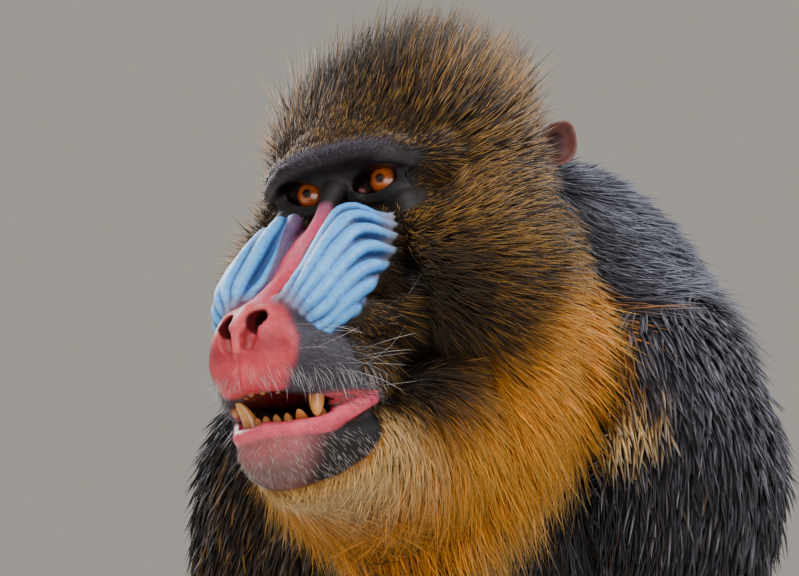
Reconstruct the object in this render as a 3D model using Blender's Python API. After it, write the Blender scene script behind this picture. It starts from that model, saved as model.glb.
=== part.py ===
"""A life-size adult male mandrill that sits on its rump with its hands on the ground.

The animal faces -Y, its own left side is +X, and the ground is z = 0. Every node of flesh is
drawn at the outer face of its coat. The head is modelled in its own frame, whose origin lies
midway between the eyes, and is then turned on the neck.
"""

import math
import random

import bmesh
import bpy
import numpy as np
from mathutils import Matrix, Vector
from mathutils.bvhtree import BVHTree

# Driving sizes, in metres
EYE_PLACE = (-0.018, -0.178, 0.600)
HEAD_TURN = (-4.4, -3.0, -7.9)
EYE_RADIUS = 0.0125
# Half the width, depth and height of the cut that opens the lids, and how far ahead of the ball it lies
EYE_OPENING = (0.0128, 0.0180, 0.0072)
EYE_OPENING_AHEAD = 0.0175
GAP = 0.0003
GROW = 0.0005
LOFT_STEP = 0.018
TOOTH_SIDES = 6

# Shape of each stretch of body: x, y, z of the station, half its width, half its depth
PELVIS = [
    (0.0, 0.100, 0.050, 0.105, 0.100),
    (0.0, 0.110, 0.130, 0.138, 0.128),
    (0.0, 0.100, 0.215, 0.146, 0.140),
]
BELLY = [
    (0.0, 0.100, 0.180, 0.143, 0.135),
    (0.0, 0.085, 0.250, 0.148, 0.145),
    (0.0, 0.068, 0.330, 0.150, 0.150),
]
CHEST = [
    (0.0, 0.062, 0.350, 0.142, 0.144),
    (0.0, 0.048, 0.425, 0.142, 0.143),
    (0.0, 0.034, 0.500, 0.144, 0.137),
    (0.0, 0.020, 0.552, 0.123, 0.110),
]
# The plane where neck and trunk part, and half the size of the block that cuts there
COLLAR_AT = (0.0, -0.005, 0.560)
COLLAR_TILT = 52
COLLAR_REACH = 0.40
NECK = [
    (0.0, 0.015, 0.500, 0.120, 0.115),
    (0.0, -0.030, 0.535, 0.110, 0.104),
    (0.0, -0.085, 0.535, 0.098, 0.090),
]
UPPER_ARM = [
    (0.112, 0.000, 0.475, 0.072, 0.072),
    (0.135, -0.020, 0.420, 0.070, 0.070),
    (0.146, -0.048, 0.345, 0.058, 0.058),
    (0.148, -0.082, 0.268, 0.047, 0.047),
]
FOREARM = [
    (0.148, -0.080, 0.270, 0.048, 0.048),
    (0.132, -0.118, 0.205, 0.046, 0.046),
    (0.108, -0.162, 0.135, 0.036, 0.036),
    (0.085, -0.198, 0.070, 0.027, 0.025),
]
PALM = [
    (0.088, -0.193, 0.075, 0.026, 0.022),
    (0.080, -0.218, 0.034, 0.028, 0.021),
    (0.076, -0.250, 0.018, 0.033, 0.016),
    (0.074, -0.278, 0.016, 0.034, 0.014),
]
THIGH = [
    (0.085, 0.070, 0.120, 0.096, 0.100),
    (0.150, 0.010, 0.135, 0.086, 0.086),
    (0.212, -0.055, 0.160, 0.066, 0.066),
    (0.256, -0.102, 0.185, 0.048, 0.048),
]
SHIN = [
    (0.256, -0.100, 0.188, 0.046, 0.046),
    (0.240, -0.098, 0.138, 0.043, 0.048),
    (0.212, -0.086, 0.085, 0.034, 0.036),
    (0.190, -0.074, 0.045, 0.026, 0.028),
]
SOLE = [
    (0.184, -0.050, 0.022, 0.023, 0.022),
    (0.187, -0.085, 0.026, 0.027, 0.026),
    (0.194, -0.140, 0.020, 0.032, 0.019),
    (0.200, -0.190, 0.015, 0.036, 0.014),
]
TAIL = [
    (0.0, 0.215, 0.165, 0.024, 0.022),
    (0.0, 0.250, 0.190, 0.021, 0.020),
    (0.0, 0.268, 0.225, 0.017, 0.017),
    (0.0, 0.272, 0.252, 0.010, 0.010),
]

# Digits: x, y of the root and of the tip, root radius and tip radius, height of the tip
FINGERS = [
    (0.050, -0.262, 0.036, -0.318, 0.0095, 0.0080),
    (0.065, -0.275, 0.058, -0.338, 0.0098, 0.0082),
    (0.081, -0.276, 0.080, -0.340, 0.0098, 0.0082),
    (0.097, -0.268, 0.102, -0.326, 0.0095, 0.0078),
    (0.054, -0.225, 0.030, -0.252, 0.0095, 0.0075),
]
TOES = [
    (0.176, -0.185, 0.168, -0.248, 0.0105, 0.0085),
    (0.192, -0.192, 0.190, -0.262, 0.0105, 0.0085),
    (0.208, -0.192, 0.212, -0.260, 0.0105, 0.0085),
    (0.223, -0.184, 0.234, -0.242, 0.0100, 0.0080),
    (0.170, -0.128, 0.138, -0.172, 0.0115, 0.0090),
]

# Head, in its own frame: centre and radii of each soft mass, half way out through the coat
SKULL_MASSES = [
    ((0.0, 0.080, 0.012), (0.084, 0.092, 0.074)),
    ((0.0, 0.058, 0.010), (0.070, 0.058, 0.056)),
    ((0.052, 0.046, -0.058), (0.054, 0.056, 0.070)),
    ((-0.052, 0.046, -0.058), (0.054, 0.056, 0.070)),
    ((0.0, 0.065, -0.080), (0.070, 0.075, 0.066)),
]
CHEEKBONE = [
    (0.052, -0.004, -0.020, 0.015, 0.013),
    (0.060, 0.008, -0.040, 0.020, 0.018),
    (0.058, 0.020, -0.075, 0.026, 0.024),
]
BROW = [
    (-0.0575, 0.004, 0.004, 0.008, 0.009),
    (-0.036, -0.009, 0.016, 0.009, 0.009),
    (0.0, -0.013, 0.015, 0.010, 0.009),
    (0.036, -0.009, 0.016, 0.009, 0.009),
    (0.0575, 0.004, 0.004, 0.008, 0.009),
]
MUZZLE = [
    (0.0, 0.020, -0.068, 0.050, 0.058),
    (0.0, -0.020, -0.076, 0.046, 0.060),
    (0.0, -0.055, -0.086, 0.042, 0.049),
    (0.0, -0.085, -0.095, 0.036, 0.038),
    (0.0, -0.108, -0.103, 0.027, 0.027),
]
LIP_FLESH = [
    (0.018, -0.098, -0.114, 0.013, 0.015),
    (0.029, -0.078, -0.116, 0.013, 0.017),
    (0.036, -0.052, -0.118, 0.013, 0.019),
]
BRIDGE = [
    (0.0, -0.006, -0.002, 0.0080, 0.0080),
    (0.0, -0.040, -0.024, 0.0075, 0.0075),
    (0.0, -0.080, -0.054, 0.0078, 0.0075),
    (0.0, -0.112, -0.082, 0.0110, 0.0080),
]
NOSE_MASSES = [
    ((0.0, -0.108, -0.100), (0.025, 0.015, 0.020)),
    ((0.0145, -0.106, -0.096), (0.012, 0.015, 0.013)),
    ((-0.0145, -0.106, -0.096), (0.012, 0.015, 0.013)),
    ((0.0, -0.1165, -0.098), (0.0042, 0.0065, 0.013)),
    ((0.0, -0.107, -0.117), (0.027, 0.015, 0.014)),
]
UPPER_LIP = [
    (0.0, -0.1155, -0.1270, 0.0065, 0.0060),
    (0.019, -0.1090, -0.1295, 0.0060, 0.0060),
    (0.034, -0.0880, -0.1335, 0.0055, 0.0060),
    (0.044, -0.0620, -0.1355, 0.0050, 0.0055),
]
LOWER_LIP = [
    (0.0, -0.1070, -0.1530, 0.0060, 0.0060),
    (0.018, -0.1010, -0.1530, 0.0058, 0.0060),
    (0.033, -0.0800, -0.1480, 0.0055, 0.0060),
    (0.043, -0.0580, -0.1400, 0.0050, 0.0055),
]
JAW_SIDE = [
    (0.010, -0.090, -0.1670, 0.020, 0.017),
    (0.022, -0.060, -0.1640, 0.021, 0.021),
    (0.034, -0.020, -0.1620, 0.026, 0.030),
    (0.042, 0.025, -0.1600, 0.036, 0.046),
]
CHIN_MASSES = [
    ((0.0, -0.090, -0.169), (0.026, 0.022, 0.019)),
    ((0.0, -0.045, -0.182), (0.042, 0.052, 0.026)),
    ((0.0, -0.005, -0.190), (0.060, 0.056, 0.042)),
    ((0.0, -0.052, -0.200), (0.024, 0.028, 0.020)),
]
EYE_BALL = (0.0265, 0.0115, -0.0015)
EAR_AT = (0.098, 0.098, 0.014)
LID_RIM = (0.0135, 0.0082, 0.0024)
# The block of the face, in the head's frame, that the muzzle takes from the head
MUZZLE_BLOCK = ((-0.0560, -0.22, -0.25), (0.0560, -0.013, -0.0175))
# Triangles of the whole upper head, as finely as the head and the muzzle are each kept from it
HEAD_TRIANGLES = 1300
MUZZLE_TRIANGLES = 5200
JAW_TRIANGLES = 560
RIDGES_PER_SIDE = 6
RIDGE_FULLNESS = 0.56
RIDGE_TOP = [
    (0.0150, -0.104, -0.0790),
    (0.0175, -0.070, -0.0500),
    (0.0225, -0.037, -0.0260),
    (0.0440, -0.016, -0.0270),
]
RIDGE_BOTTOM = [
    (0.0330, -0.094, -0.1050),
    (0.0390, -0.080, -0.0960),
    (0.0440, -0.064, -0.0840),
    (0.0480, -0.048, -0.0720),
]
NOSTRIL = ((0.0122, -0.1215, -0.0965), (0.0054, 0.0130, 0.0062))

FUR_BROWN = ("coat_brown", "5B4A32", 0.85)
FUR_GREY = ("coat_grey", "4C4A50", 0.85)
FUR_GOLD = ("beard_gold", "C58A2E", 0.85)
SKIN_BLUE = ("muzzle_skin", "7FA8D8", 0.45)
SKIN_ROSE = ("jaw_skin", "A85A5C", 0.45)
SKIN_DARK = ("hand_skin", "2E2A2C", 0.55)
EAR_SKIN = ("ear_skin", "7A4A44", 0.55)
EYE_AMBER = ("eye_amber", "8A4A12", 0.10)


def clear_scene():
    """Removes what the startup file holds."""
    for obj in list(bpy.data.objects):
        bpy.data.objects.remove(obj)


def linear(hex_colour):
    """Linear red, green, blue and alpha of an sRGB hex colour."""
    parts = [int(hex_colour[i : i + 2], 16) / 255 for i in (0, 2, 4)]
    return [p / 12.92 if p <= 0.04045 else ((p + 0.055) / 1.055) ** 2.4 for p in parts] + [1.0]


def finish(obj, look):
    """Gives the object its material."""
    name, hex_colour, roughness = look
    material = bpy.data.materials.get(name) or bpy.data.materials.new(name)
    material.use_nodes = True
    shader = material.node_tree.nodes["Principled BSDF"]
    shader.inputs["Base Color"].default_value = linear(hex_colour)
    shader.inputs["Roughness"].default_value = roughness
    obj.data.materials.clear()
    obj.data.materials.append(material)
    obj.data.shade_smooth()
    return obj


def link(name, mesh):
    """A new object in the scene."""
    obj = bpy.data.objects.new(name, mesh)
    bpy.context.scene.collection.objects.link(obj)
    return obj


def apply_modifiers(obj):
    """Makes the evaluated mesh the object's own."""
    graph = bpy.context.evaluated_depsgraph_get()
    graph.update()
    mesh = bpy.data.meshes.new_from_object(obj.evaluated_get(graph))
    obj.modifiers.clear()
    obj.data = mesh
    return obj


def smooth_stations(stations, parts=0):
    """More stations on a Catmull-Rom curve through the given ones, LOFT_STEP apart or parts to a stretch."""
    points = np.array(stations, float)
    ends = np.vstack([2 * points[0] - points[1], points, 2 * points[-1] - points[-2]])
    out = []
    for i in range(len(points) - 1):
        a, b, c, d = ends[i : i + 4]
        count = parts or max(2, math.ceil(np.linalg.norm(c[:3] - b[:3]) / LOFT_STEP))
        for t in np.arange(count) / count:
            bend, twist = 2 * a - 5 * b + 4 * c - d, 3 * b - a - 3 * c + d
            out.append(0.5 * (2 * b + (c - a) * t + bend * t**2 + twist * t**3))
    return np.array(out + [points[-1]])


def mirrored(stations):
    """The same stations on the other side of the body."""
    return [(-s[0], *s[1:]) for s in stations]


def oval(bm, centre, across, up, sides):
    """A ring of vertices on the oval with those two half axes."""
    turns = [2 * math.pi * k / sides for k in range(sides)]
    return [bm.verts.new(centre + across * math.cos(a) + up * math.sin(a)) for a in turns]


def bridge(bm, loops):
    """Joins rings of vertices into a tube and caps both of its ends."""
    for low, high in zip(loops, loops[1:]):
        for k in range(len(low)):
            n = (k + 1) % len(low)
            bm.faces.new((low[k], low[n], high[n], high[k]))
    bm.faces.new(loops[0][::-1])
    bm.faces.new(loops[-1])


def loft(name, stations, sides=20):
    """A closed tube of oval sections through the stations, with round ends."""
    rings = smooth_stations(stations)
    centres, widths, depths = rings[:, :3], rings[:, 3], rings[:, 4]
    tangents = np.gradient(centres, axis=0)
    tangents /= np.linalg.norm(tangents, axis=1)[:, None]
    rows = []
    for end, sign in ((0, -1), (-1, 1)):
        cap = []
        for angle in (30, 60, 84):
            s, c = math.sin(math.radians(angle)), math.cos(math.radians(angle))
            tip = centres[end] + tangents[end] * sign * min(widths[end], depths[end]) * s
            cap.append((tip, tangents[end], widths[end] * c, depths[end] * c))
        rows.append(cap)
    body = list(zip(centres, tangents, widths, depths))
    sections = rows[0][::-1] + body + rows[1]
    bm = bmesh.new()
    loops = []
    for centre, tangent, width, depth in sections:
        across = Vector((1, 0, 0)) - Vector(tangent) * tangent[0]
        if across.length < 0.3:
            across = Vector((0, 0, 1)) - Vector(tangent) * tangent[2]
        across.normalize()
        up = Vector(tangent).cross(across)
        loops.append(oval(bm, Vector(centre), across * width, up * depth, sides))
    bridge(bm, loops)
    bmesh.ops.recalc_face_normals(bm, faces=bm.faces)
    mesh = bpy.data.meshes.new(name)
    bm.to_mesh(mesh)
    bm.free()
    return link(name, mesh)


def ellipsoid(name, centre, radii, segments=24, turn=None):
    """A ball stretched to the given radii."""
    bm = bmesh.new()
    bmesh.ops.create_uvsphere(bm, u_segments=segments, v_segments=segments // 2, radius=1.0)
    place = Matrix.Translation(centre) @ (turn or Matrix()) @ Matrix.Diagonal((*radii, 1.0))
    bmesh.ops.transform(bm, matrix=place, verts=bm.verts)
    mesh = bpy.data.meshes.new(name)
    bm.to_mesh(mesh)
    bm.free()
    return link(name, mesh)


def joined(name, pieces):
    """One object that holds the meshes of all the pieces, which are removed."""
    bm = bmesh.new()
    for piece in pieces:
        bm.from_mesh(piece.data)
        bpy.data.objects.remove(piece)
    mesh = bpy.data.meshes.new(name)
    bm.to_mesh(mesh)
    bm.free()
    return link(name, mesh)


def grown(obj, amount=GROW):
    """A copy of the object whose faces lie a little further out, for cutting its neighbours clear of it."""
    copy = link(obj.name + "_cutter", obj.data.copy())
    copy.matrix_world = obj.matrix_world
    mesh = copy.data
    normals = np.array([v.normal for v in mesh.vertices])
    points = np.array([v.co for v in mesh.vertices])
    mesh.vertices.foreach_set("co", (points + normals * amount).ravel())
    return copy


def is_closed(mesh):
    """Whether the mesh has faces and each of its edges joins two of them."""
    bm = bmesh.new()
    bm.from_mesh(mesh)
    closed = len(bm.faces) > 0 and all(edge.is_manifold for edge in bm.edges)
    bm.free()
    return closed


def boolean(obj, other, operation):
    """Applies one Boolean with the other object, which is then removed.

    The MANIFOLD solver takes over where EXACT leaves the mesh open.
    """
    before = obj.data
    for solver in ("EXACT", "MANIFOLD"):
        obj.data = before
        modifier = obj.modifiers.new("cut", "BOOLEAN")
        modifier.operation = operation
        modifier.solver = solver
        modifier.object = other
        apply_modifiers(obj)
        if is_closed(obj.data):
            break
    bpy.data.objects.remove(other)
    return keep_largest(obj)


def shell_size(verts):
    """The diagonal of the box round some vertices."""
    points = np.array([v.co for v in verts])
    return float(np.linalg.norm(points.max(0) - points.min(0)))


def keep_largest(obj):
    """Drops every loose scrap, so that the node is one closed surface."""
    bm = bmesh.new()
    bm.from_mesh(obj.data)
    bm.verts.ensure_lookup_table()
    left = set(bm.verts)
    shells = []
    while left:
        shell, front = set(), [left.pop()]
        while front:
            vert = front.pop()
            shell.add(vert)
            for edge in vert.link_edges:
                other = edge.other_vert(vert)
                if other in left:
                    left.discard(other)
                    front.append(other)
        shells.append(shell)
    if len(shells) > 1:
        best = max(shells, key=shell_size)
        bmesh.ops.delete(bm, geom=[v for v in bm.verts if v not in best], context="VERTS")
        bm.to_mesh(obj.data)
    bm.free()
    return obj


def clear_of(obj, *neighbours):
    """Cuts the object back from each neighbour by the gap that touching meshes keep."""
    for neighbour in neighbours:
        boolean(obj, grown(neighbour), "DIFFERENCE")
    return obj


def box(name, low, high, turn=None):
    """A block between two corners, turned about its centre if a turn is given."""
    centre = (Vector(low) + Vector(high)) / 2
    size = Vector(high) - Vector(low)
    bm = bmesh.new()
    bmesh.ops.create_cube(bm, size=1.0)
    place = Matrix.Translation(centre) @ (turn or Matrix()) @ Matrix.Diagonal((*size, 1.0))
    bmesh.ops.transform(bm, matrix=place, verts=bm.verts)
    mesh = bpy.data.meshes.new(name)
    bm.to_mesh(mesh)
    bm.free()
    return link(name, mesh)


def flatten_on_ground(obj):
    """Cuts off what lies below z = 0, which leaves a small flat to rest on."""
    return boolean(obj, box("ground", (-0.6, -0.6, -0.2), (0.6, 0.6, 0.0)), "DIFFERENCE")


def both(side, stations):
    """The stations as given for the left side, and mirrored for the right."""
    return stations if side == "L" else mirrored(stations)


def digit_stations(x0, y0, x1, y1, r0, r1):
    """A finger or toe that arches from its root and comes down on its pad."""
    mid_x, mid_y = 0.5 * (x0 + x1), 0.5 * (y0 + y1)
    return [(x0, y0, 0.014, r0, r0), (mid_x, mid_y, 0.017, r0, r0), (x1, y1, r1 * 0.85, r1, r1)]


def paw(name, side, stations, digits, triangles):
    """A hand or foot with its digits."""
    pieces = [loft("paw", both(side, stations))]
    pieces += [loft("digit", both(side, digit_stations(*d)), 12) for d in digits]
    return fused(name, pieces, 0.0028, 2, triangles)


def body_forms():
    """The whole shape of each stretch of trunk and limb, before any is cut back from another."""
    forms = {
        "chest": fused("chest", [loft("c", CHEST, 32)], 0.010, 3, 460),
        "belly": fused("belly", [loft("b", BELLY, 32)], 0.010, 3, 220),
        "pelvis": fused("pelvis", [loft("p", PELVIS, 32)], 0.010, 3, 240),
        "neck": fused("neck", [loft("n", NECK, 28)], 0.009, 3, 240),
        "tail": fused("tail", [loft("t", TAIL, 14)], 0.005, 2, 110),
    }
    for side in "LR":
        limbs = {
            "upper_arm": fused("form", [loft("a", both(side, UPPER_ARM), 20)], 0.008, 3, 190),
            "forearm": fused("form", [loft("f", both(side, FOREARM), 18)], 0.007, 3, 160),
            "hand": paw("form", side, PALM, FINGERS, 290),
            "thigh": fused("form", [loft("t", both(side, THIGH), 22)], 0.008, 3, 200),
            "shin": fused("form", [loft("s", both(side, SHIN), 18)], 0.007, 3, 160),
            "foot": paw("form", side, SOLE, TOES, 300),
        }
        forms.update({f"{name}_{side}": form for name, form in limbs.items()})
    return forms


def collar_block(side):
    """A block that meets the slanting plane of the collar, ahead of it for 1 and behind it for -1."""
    turn = Matrix.Rotation(math.radians(COLLAR_TILT), 4, "X")
    half = Vector([COLLAR_REACH] * 3)
    centre = Vector(COLLAR_AT) + turn @ Vector((0.0, 0.0, side * (COLLAR_REACH - GAP / 2)))
    return box("collar", centre - half, centre + half, turn)


def part_body(forms, head):
    """Cuts each form back from those that it grows from or lies against, and flattens what rests."""
    nodes = {name: link(name, form.data.copy()) for name, form in forms.items()}
    boolean(nodes["neck"], link("shoulders", forms["chest"].data.copy()), "UNION")
    boolean(nodes["neck"], collar_block(-1), "DIFFERENCE")
    boolean(nodes["chest"], collar_block(1), "DIFFERENCE")
    clear_of(nodes["neck"], head["head"], head["jaw"], head["ear_L"], head["ear_R"])
    for name, others in GROWS_FROM.items():
        for side in "LR" if "_" in name else " ":
            full = name.replace("_S", "_" + side)
            clear_of(nodes[full], *[forms[o.replace("_S", "_" + side)] for o in others])
    for name, node in nodes.items():
        if name.split("_")[0] in ("pelvis", "thigh", "shin", "hand", "foot"):
            flatten_on_ground(node)
    for form in forms.values():
        bpy.data.objects.remove(form)
    return nodes


def ridge_stations(k):
    """Stations of one swollen ridge of the left side of the muzzle, k from the bridge outwards."""
    share = k / (RIDGES_PER_SIDE - 1)
    top, bottom = smooth_stations(RIDGE_TOP, 3), smooth_stations(RIDGE_BOTTOM, 3)
    apart = np.linalg.norm(top - bottom, axis=1) / (RIDGES_PER_SIDE - 1)
    taper = np.interp(np.arange(len(top)), [0, 1, len(top) - 2, len(top) - 1], [0.8, 1, 1, 0.7])
    radii = apart * RIDGE_FULLNESS * taper
    line = top * (1 - share) + bottom * share
    return [(*on_muzzle(point), r, r) for point, r in zip(line, radii)]


def on_muzzle(point):
    """The point, pushed out to the face of the muzzle's core where it lies inside it."""
    stations = np.array(MUZZLE)[::-1]
    middle, wide, high = (np.interp(point[1], stations[:, 1], stations[:, k]) for k in (2, 3, 4))
    depth = math.hypot(point[0] / wide, (point[2] - middle) / high)
    if depth >= 1:
        return tuple(point)
    return (point[0] / depth, point[1], middle + (point[2] - middle) / depth)


def lid_stations(side, upper):
    """A lid's rim, which runs over the ball from one corner of the eye to the other."""
    half_width, half_height, radius = LID_RIM
    sign = 1 if side == "L" else -1
    out = []
    for k in range(7):
        angle = math.pi * k / 6
        dx, dz = half_width * math.cos(angle), half_height * math.sin(angle) * (1 if upper else -1)
        y = EYE_BALL[1] - math.sqrt(max(EYE_RADIUS**2 - dx * dx - dz * dz, 1e-6))
        out.append((sign * (EYE_BALL[0] + dx), y - 0.0005, EYE_BALL[2] + dz, radius, radius))
    return out


def face_mass():
    """The whole upper head in its own frame: skull, cheeks, brow, muzzle, ridges, nose and upper lip."""
    pieces = [ellipsoid("mass", c, r, 40) for c, r in SKULL_MASSES]
    pieces += [loft("brow", BROW, 14), loft("muzzle", MUZZLE, 32), loft("bridge", BRIDGE, 14)]
    pieces += [ellipsoid("nose", c, r, 28) for c, r in NOSE_MASSES]
    for side in "LR":
        pieces.append(loft("cheekbone", both(side, CHEEKBONE), 18))
        pieces += [loft("lid", lid_stations(side, upper), 8) for upper in (True, False)]
        pieces += [loft("lip", both(side, UPPER_LIP), 12), loft("flesh", both(side, LIP_FLESH), 14)]
        for k in range(RIDGES_PER_SIDE):
            pieces.append(loft("ridge", both(side, ridge_stations(k)), 12))
    return pieces


def tooth(side, x, y, z, length, radius, lean=0.0):
    """A tooth of six sides that tapers to a blunt tip; a negative length points down."""
    sign = 1 if side == "L" else -1
    bm = bmesh.new()
    loops = []
    for share, width in ((0.0, 1.0), (0.55, 0.86), (1.0, 0.30)):
        centre = Vector((sign * (x + lean * share), y - abs(lean) * share, z + length * share))
        thick = radius * width
        loops.append(oval(bm, centre, Vector((thick, 0, 0)), Vector((0, thick, 0)), TOOTH_SIDES))
    bridge(bm, loops)
    bmesh.ops.recalc_face_normals(bm, faces=bm.faces)
    mesh = bpy.data.meshes.new("tooth")
    bm.to_mesh(mesh)
    bm.free()
    return link("tooth", mesh)


def united(obj, pieces):
    """Joins closed pieces to the object with one Boolean union on a collection."""
    group = bpy.data.collections.new("to_join")
    bpy.context.scene.collection.children.link(group)
    for piece in pieces:
        bpy.context.scene.collection.objects.unlink(piece)
        group.objects.link(piece)
    modifier = obj.modifiers.new("join", "BOOLEAN")
    modifier.operation = "UNION"
    modifier.operand_type = "COLLECTION"
    modifier.collection = group
    modifier.solver = "MANIFOLD"
    apply_modifiers(obj)
    for piece in list(group.objects):
        bpy.data.objects.remove(piece)
    bpy.data.collections.remove(group)
    return keep_largest(obj)


def melted(name, pieces, voxel, smoothing):
    """The pieces melted into one skin by a voxel remesh, and smoothed."""
    obj = joined(name, pieces)
    remesh = obj.modifiers.new("melt", "REMESH")
    remesh.mode = "VOXEL"
    remesh.voxel_size = voxel
    smooth = obj.modifiers.new("soften", "SMOOTH")
    smooth.factor = 0.5
    smooth.iterations = smoothing
    return apply_modifiers(obj)


def thinned(obj, triangles):
    """The object with about that many triangles left, or slightly more where fewer would not stay closed."""
    dense = obj.data
    dense.calc_loop_triangles()
    for step in range(8):
        obj.data = dense
        thin = obj.modifiers.new("thin", "DECIMATE")
        thin.ratio = min(1.0, triangles * (1 + 0.03 * step) / len(dense.loop_triangles))
        thin.use_collapse_triangulate = True
        apply_modifiers(obj)
        if is_closed(obj.data):
            break
    return obj


def fused(name, pieces, voxel, smoothing, triangles):
    """The pieces melted into one skin of about that many triangles."""
    return thinned(melted(name, pieces, voxel, smoothing), triangles)


def upper_teeth():
    """The canines and incisors of the upper jaw."""
    out = []
    for side in "LR":
        out.append(tooth(side, 0.027, -0.084, -0.122, -0.024, 0.0042))
        out += [tooth(side, 0.0045 + 0.007 * k, -0.104 + 0.005 * k, -0.122, -0.011, 0.0032) for k in range(2)]
    return out


def lower_teeth():
    """The canines, incisors and cheek teeth of the lower jaw."""
    out = []
    for side in "LR":
        out.append(tooth(side, 0.015, -0.090, -0.158, 0.024, 0.0046, 0.004))
        out += [tooth(side, 0.0035 + 0.0058 * k, -0.098 + 0.003 * k, -0.158, 0.014, 0.0030) for k in range(2)]
        out += [tooth(side, 0.022 + 0.003 * k, -0.078 + 0.010 * k, -0.156, 0.012, 0.0034) for k in range(3)]
    return out


def jaw_node():
    """The lower jaw with its lip, teeth, throat and beard."""
    pieces = [ellipsoid("chin", c, r, 24) for c, r in CHIN_MASSES]
    for side in "LR":
        pieces += [loft("jaw_side", both(side, JAW_SIDE), 20), loft("lip", both(side, LOWER_LIP), 12)]
    return united(fused("jaw", pieces, 0.0025, 2, JAW_TRIANGLES), lower_teeth())


def head_nodes():
    """Head, muzzle, jaw, eyes and ears, all in the head's own frame."""
    whole = melted("head", face_mass(), 0.0018, 2)
    front = box("front", *MUZZLE_BLOCK)
    behind = grown(front, 2 * GROW)
    muzzle = thinned(link("muzzle", whole.data.copy()), MUZZLE_TRIANGLES)
    boolean(muzzle, front, "INTERSECT")
    (x, y, z), radii = NOSTRIL
    tilt = Matrix.Rotation(math.radians(-25), 4, "X")
    for sign in (1, -1):
        boolean(muzzle, ellipsoid("nostril", (sign * x, y, z), radii, 12, tilt), "DIFFERENCE")
    muzzle = united(muzzle, upper_teeth())
    head = boolean(thinned(whole, HEAD_TRIANGLES), behind, "DIFFERENCE")
    nodes = {"head": head, "muzzle": muzzle}
    for side, sign in (("L", 1), ("R", -1)):
        x, y, z = EYE_BALL
        eye = ellipsoid(f"eye_{side}", (sign * x, y, z), (EYE_RADIUS,) * 3, 14)
        opening = ellipsoid("opening", (sign * x, y - EYE_OPENING_AHEAD, z), EYE_OPENING, 16)
        boolean(head, opening, "DIFFERENCE")
        boolean(head, grown(eye), "DIFFERENCE")
        nodes[eye.name] = eye
    nodes["jaw"] = clear_of(jaw_node(), head, muzzle)
    ears = [clear_of(ear(side), head) for side in "LR"]
    nodes.update({e.name: e for e in ears})
    return nodes


def ear(side):
    """A round, thin ear with a cup, set behind the cheek."""
    sign = 1 if side == "L" else -1
    centre = Vector((sign * EAR_AT[0], EAR_AT[1], EAR_AT[2]))
    turn = Matrix.Rotation(math.radians(sign * 62), 4, "Z") @ Matrix.Rotation(math.radians(8), 4, "X")
    shell = ellipsoid("ear_shell", centre, (0.021, 0.0065, 0.026), 14, turn)
    hollow_at = centre + turn @ Vector((0.002 * sign, -0.0075, 0.001))
    hollow = ellipsoid("ear_hollow", hollow_at, (0.015, 0.0075, 0.019), 10, turn)
    shell.name = f"ear_{side}"
    return boolean(shell, hollow, "DIFFERENCE")


def in_field(field, p):
    """Whether a place, in the head's frame for the head's own parts, belongs to the field."""
    x, y, z = p
    if field == "crown":
        return z > 0.030 and y > 0.0
    if field == "cheek":
        return z <= 0.030 and y > 0.022 and abs(x) > 0.030 and not in_ear_patch(p)
    if field == "beard":
        return (z < -0.187 or (z < -0.150 and y > -0.030)) and y < 0.045
    if field == "nape":
        return True
    return z > 0.395 and abs(x) < 0.125


def length_share(field, p):
    """How long the coat is at a place, as a share of the field's full length: it is short near the face."""
    if field in ("crown", "cheek"):
        return min(1.0, max(0.45, 0.45 + (p[1] - 0.01) / 0.10))
    return 1.0


def in_ear_patch(p):
    """Whether a place on the side of the head is where the ear stands."""
    return math.dist((abs(p[0]), p[1], p[2]), EAR_AT) < 0.026


def lie_of(field, p):
    """The way the coat lies at a place: up and back on the crown, back on the cheeks, down elsewhere."""
    x, y, z = p
    if field == "crown":
        return Vector((1.5 * x, 0.75, 0.9 - 3.0 * max(0.0, y - 0.08)))
    if field == "cheek":
        return Vector((2.0 * x, 0.9, 4.0 * z - 0.05))
    if field == "beard":
        return Vector((2.5 * x, 0.20, -1.0))
    if field == "nape":
        return Vector((2.0 * x, 0.7, -0.7))
    return Vector((0.8 * x, 0.9 if y > 0.03 else -0.1, -1.0))


def lock_points(size, root, normal, lie, lift, bend):
    """Corners of a flat lock with a section like a flat diamond, ring by ring, and its tip."""
    length, width, thickness = size
    along = (lie - normal * lie.dot(normal)).normalized()
    side = along.cross(normal).normalized()
    start = along * math.cos(lift) + normal * math.sin(lift)
    end = along * math.cos(lift - bend) + normal * math.sin(lift - bend)
    out = []
    for share, spread in LOCK_RINGS:
        heading = (start * (1 - share) + end * share).normalized()
        middle = root + (start * share + (end - start) * (share * share / 2)) * length
        if share == 0.0:
            middle = root - start * LOCK_SINK
        up = side.cross(heading)
        half, thin = side * (width * spread / 2), up * (thickness * spread / 2)
        out += [middle + half, middle + thin, middle - half, middle - thin]
    return out + [root + (start + end) * (length / 2)]


def lock_faces():
    """The faces of a lock, as indices of its corners: its sides, its root and its tip."""
    rings = len(LOCK_RINGS)
    faces = [
        (4 * r + k, 4 * r + 4 + k, 4 * r + 4 + (k + 1) % 4, 4 * r + (k + 1) % 4)
        for r in range(rings - 1)
        for k in range(4)
    ]
    last = 4 * (rings - 1)
    faces += [(last + k, 4 * rings, last + (k + 1) % 4) for k in range(4)]
    return faces + [(0, 1, 2, 3)]


def lock_piece(points):
    """A closed mesh of one lock."""
    mesh = bpy.data.meshes.new("lock")
    mesh.from_pydata(points, [], lock_faces())
    mesh.update()
    return link("lock", mesh)


def tree_of(obj):
    """A search tree over the object's faces."""
    mesh = obj.data
    return BVHTree.FromPolygons([v.co for v in mesh.vertices], [p.vertices for p in mesh.polygons])


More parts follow.
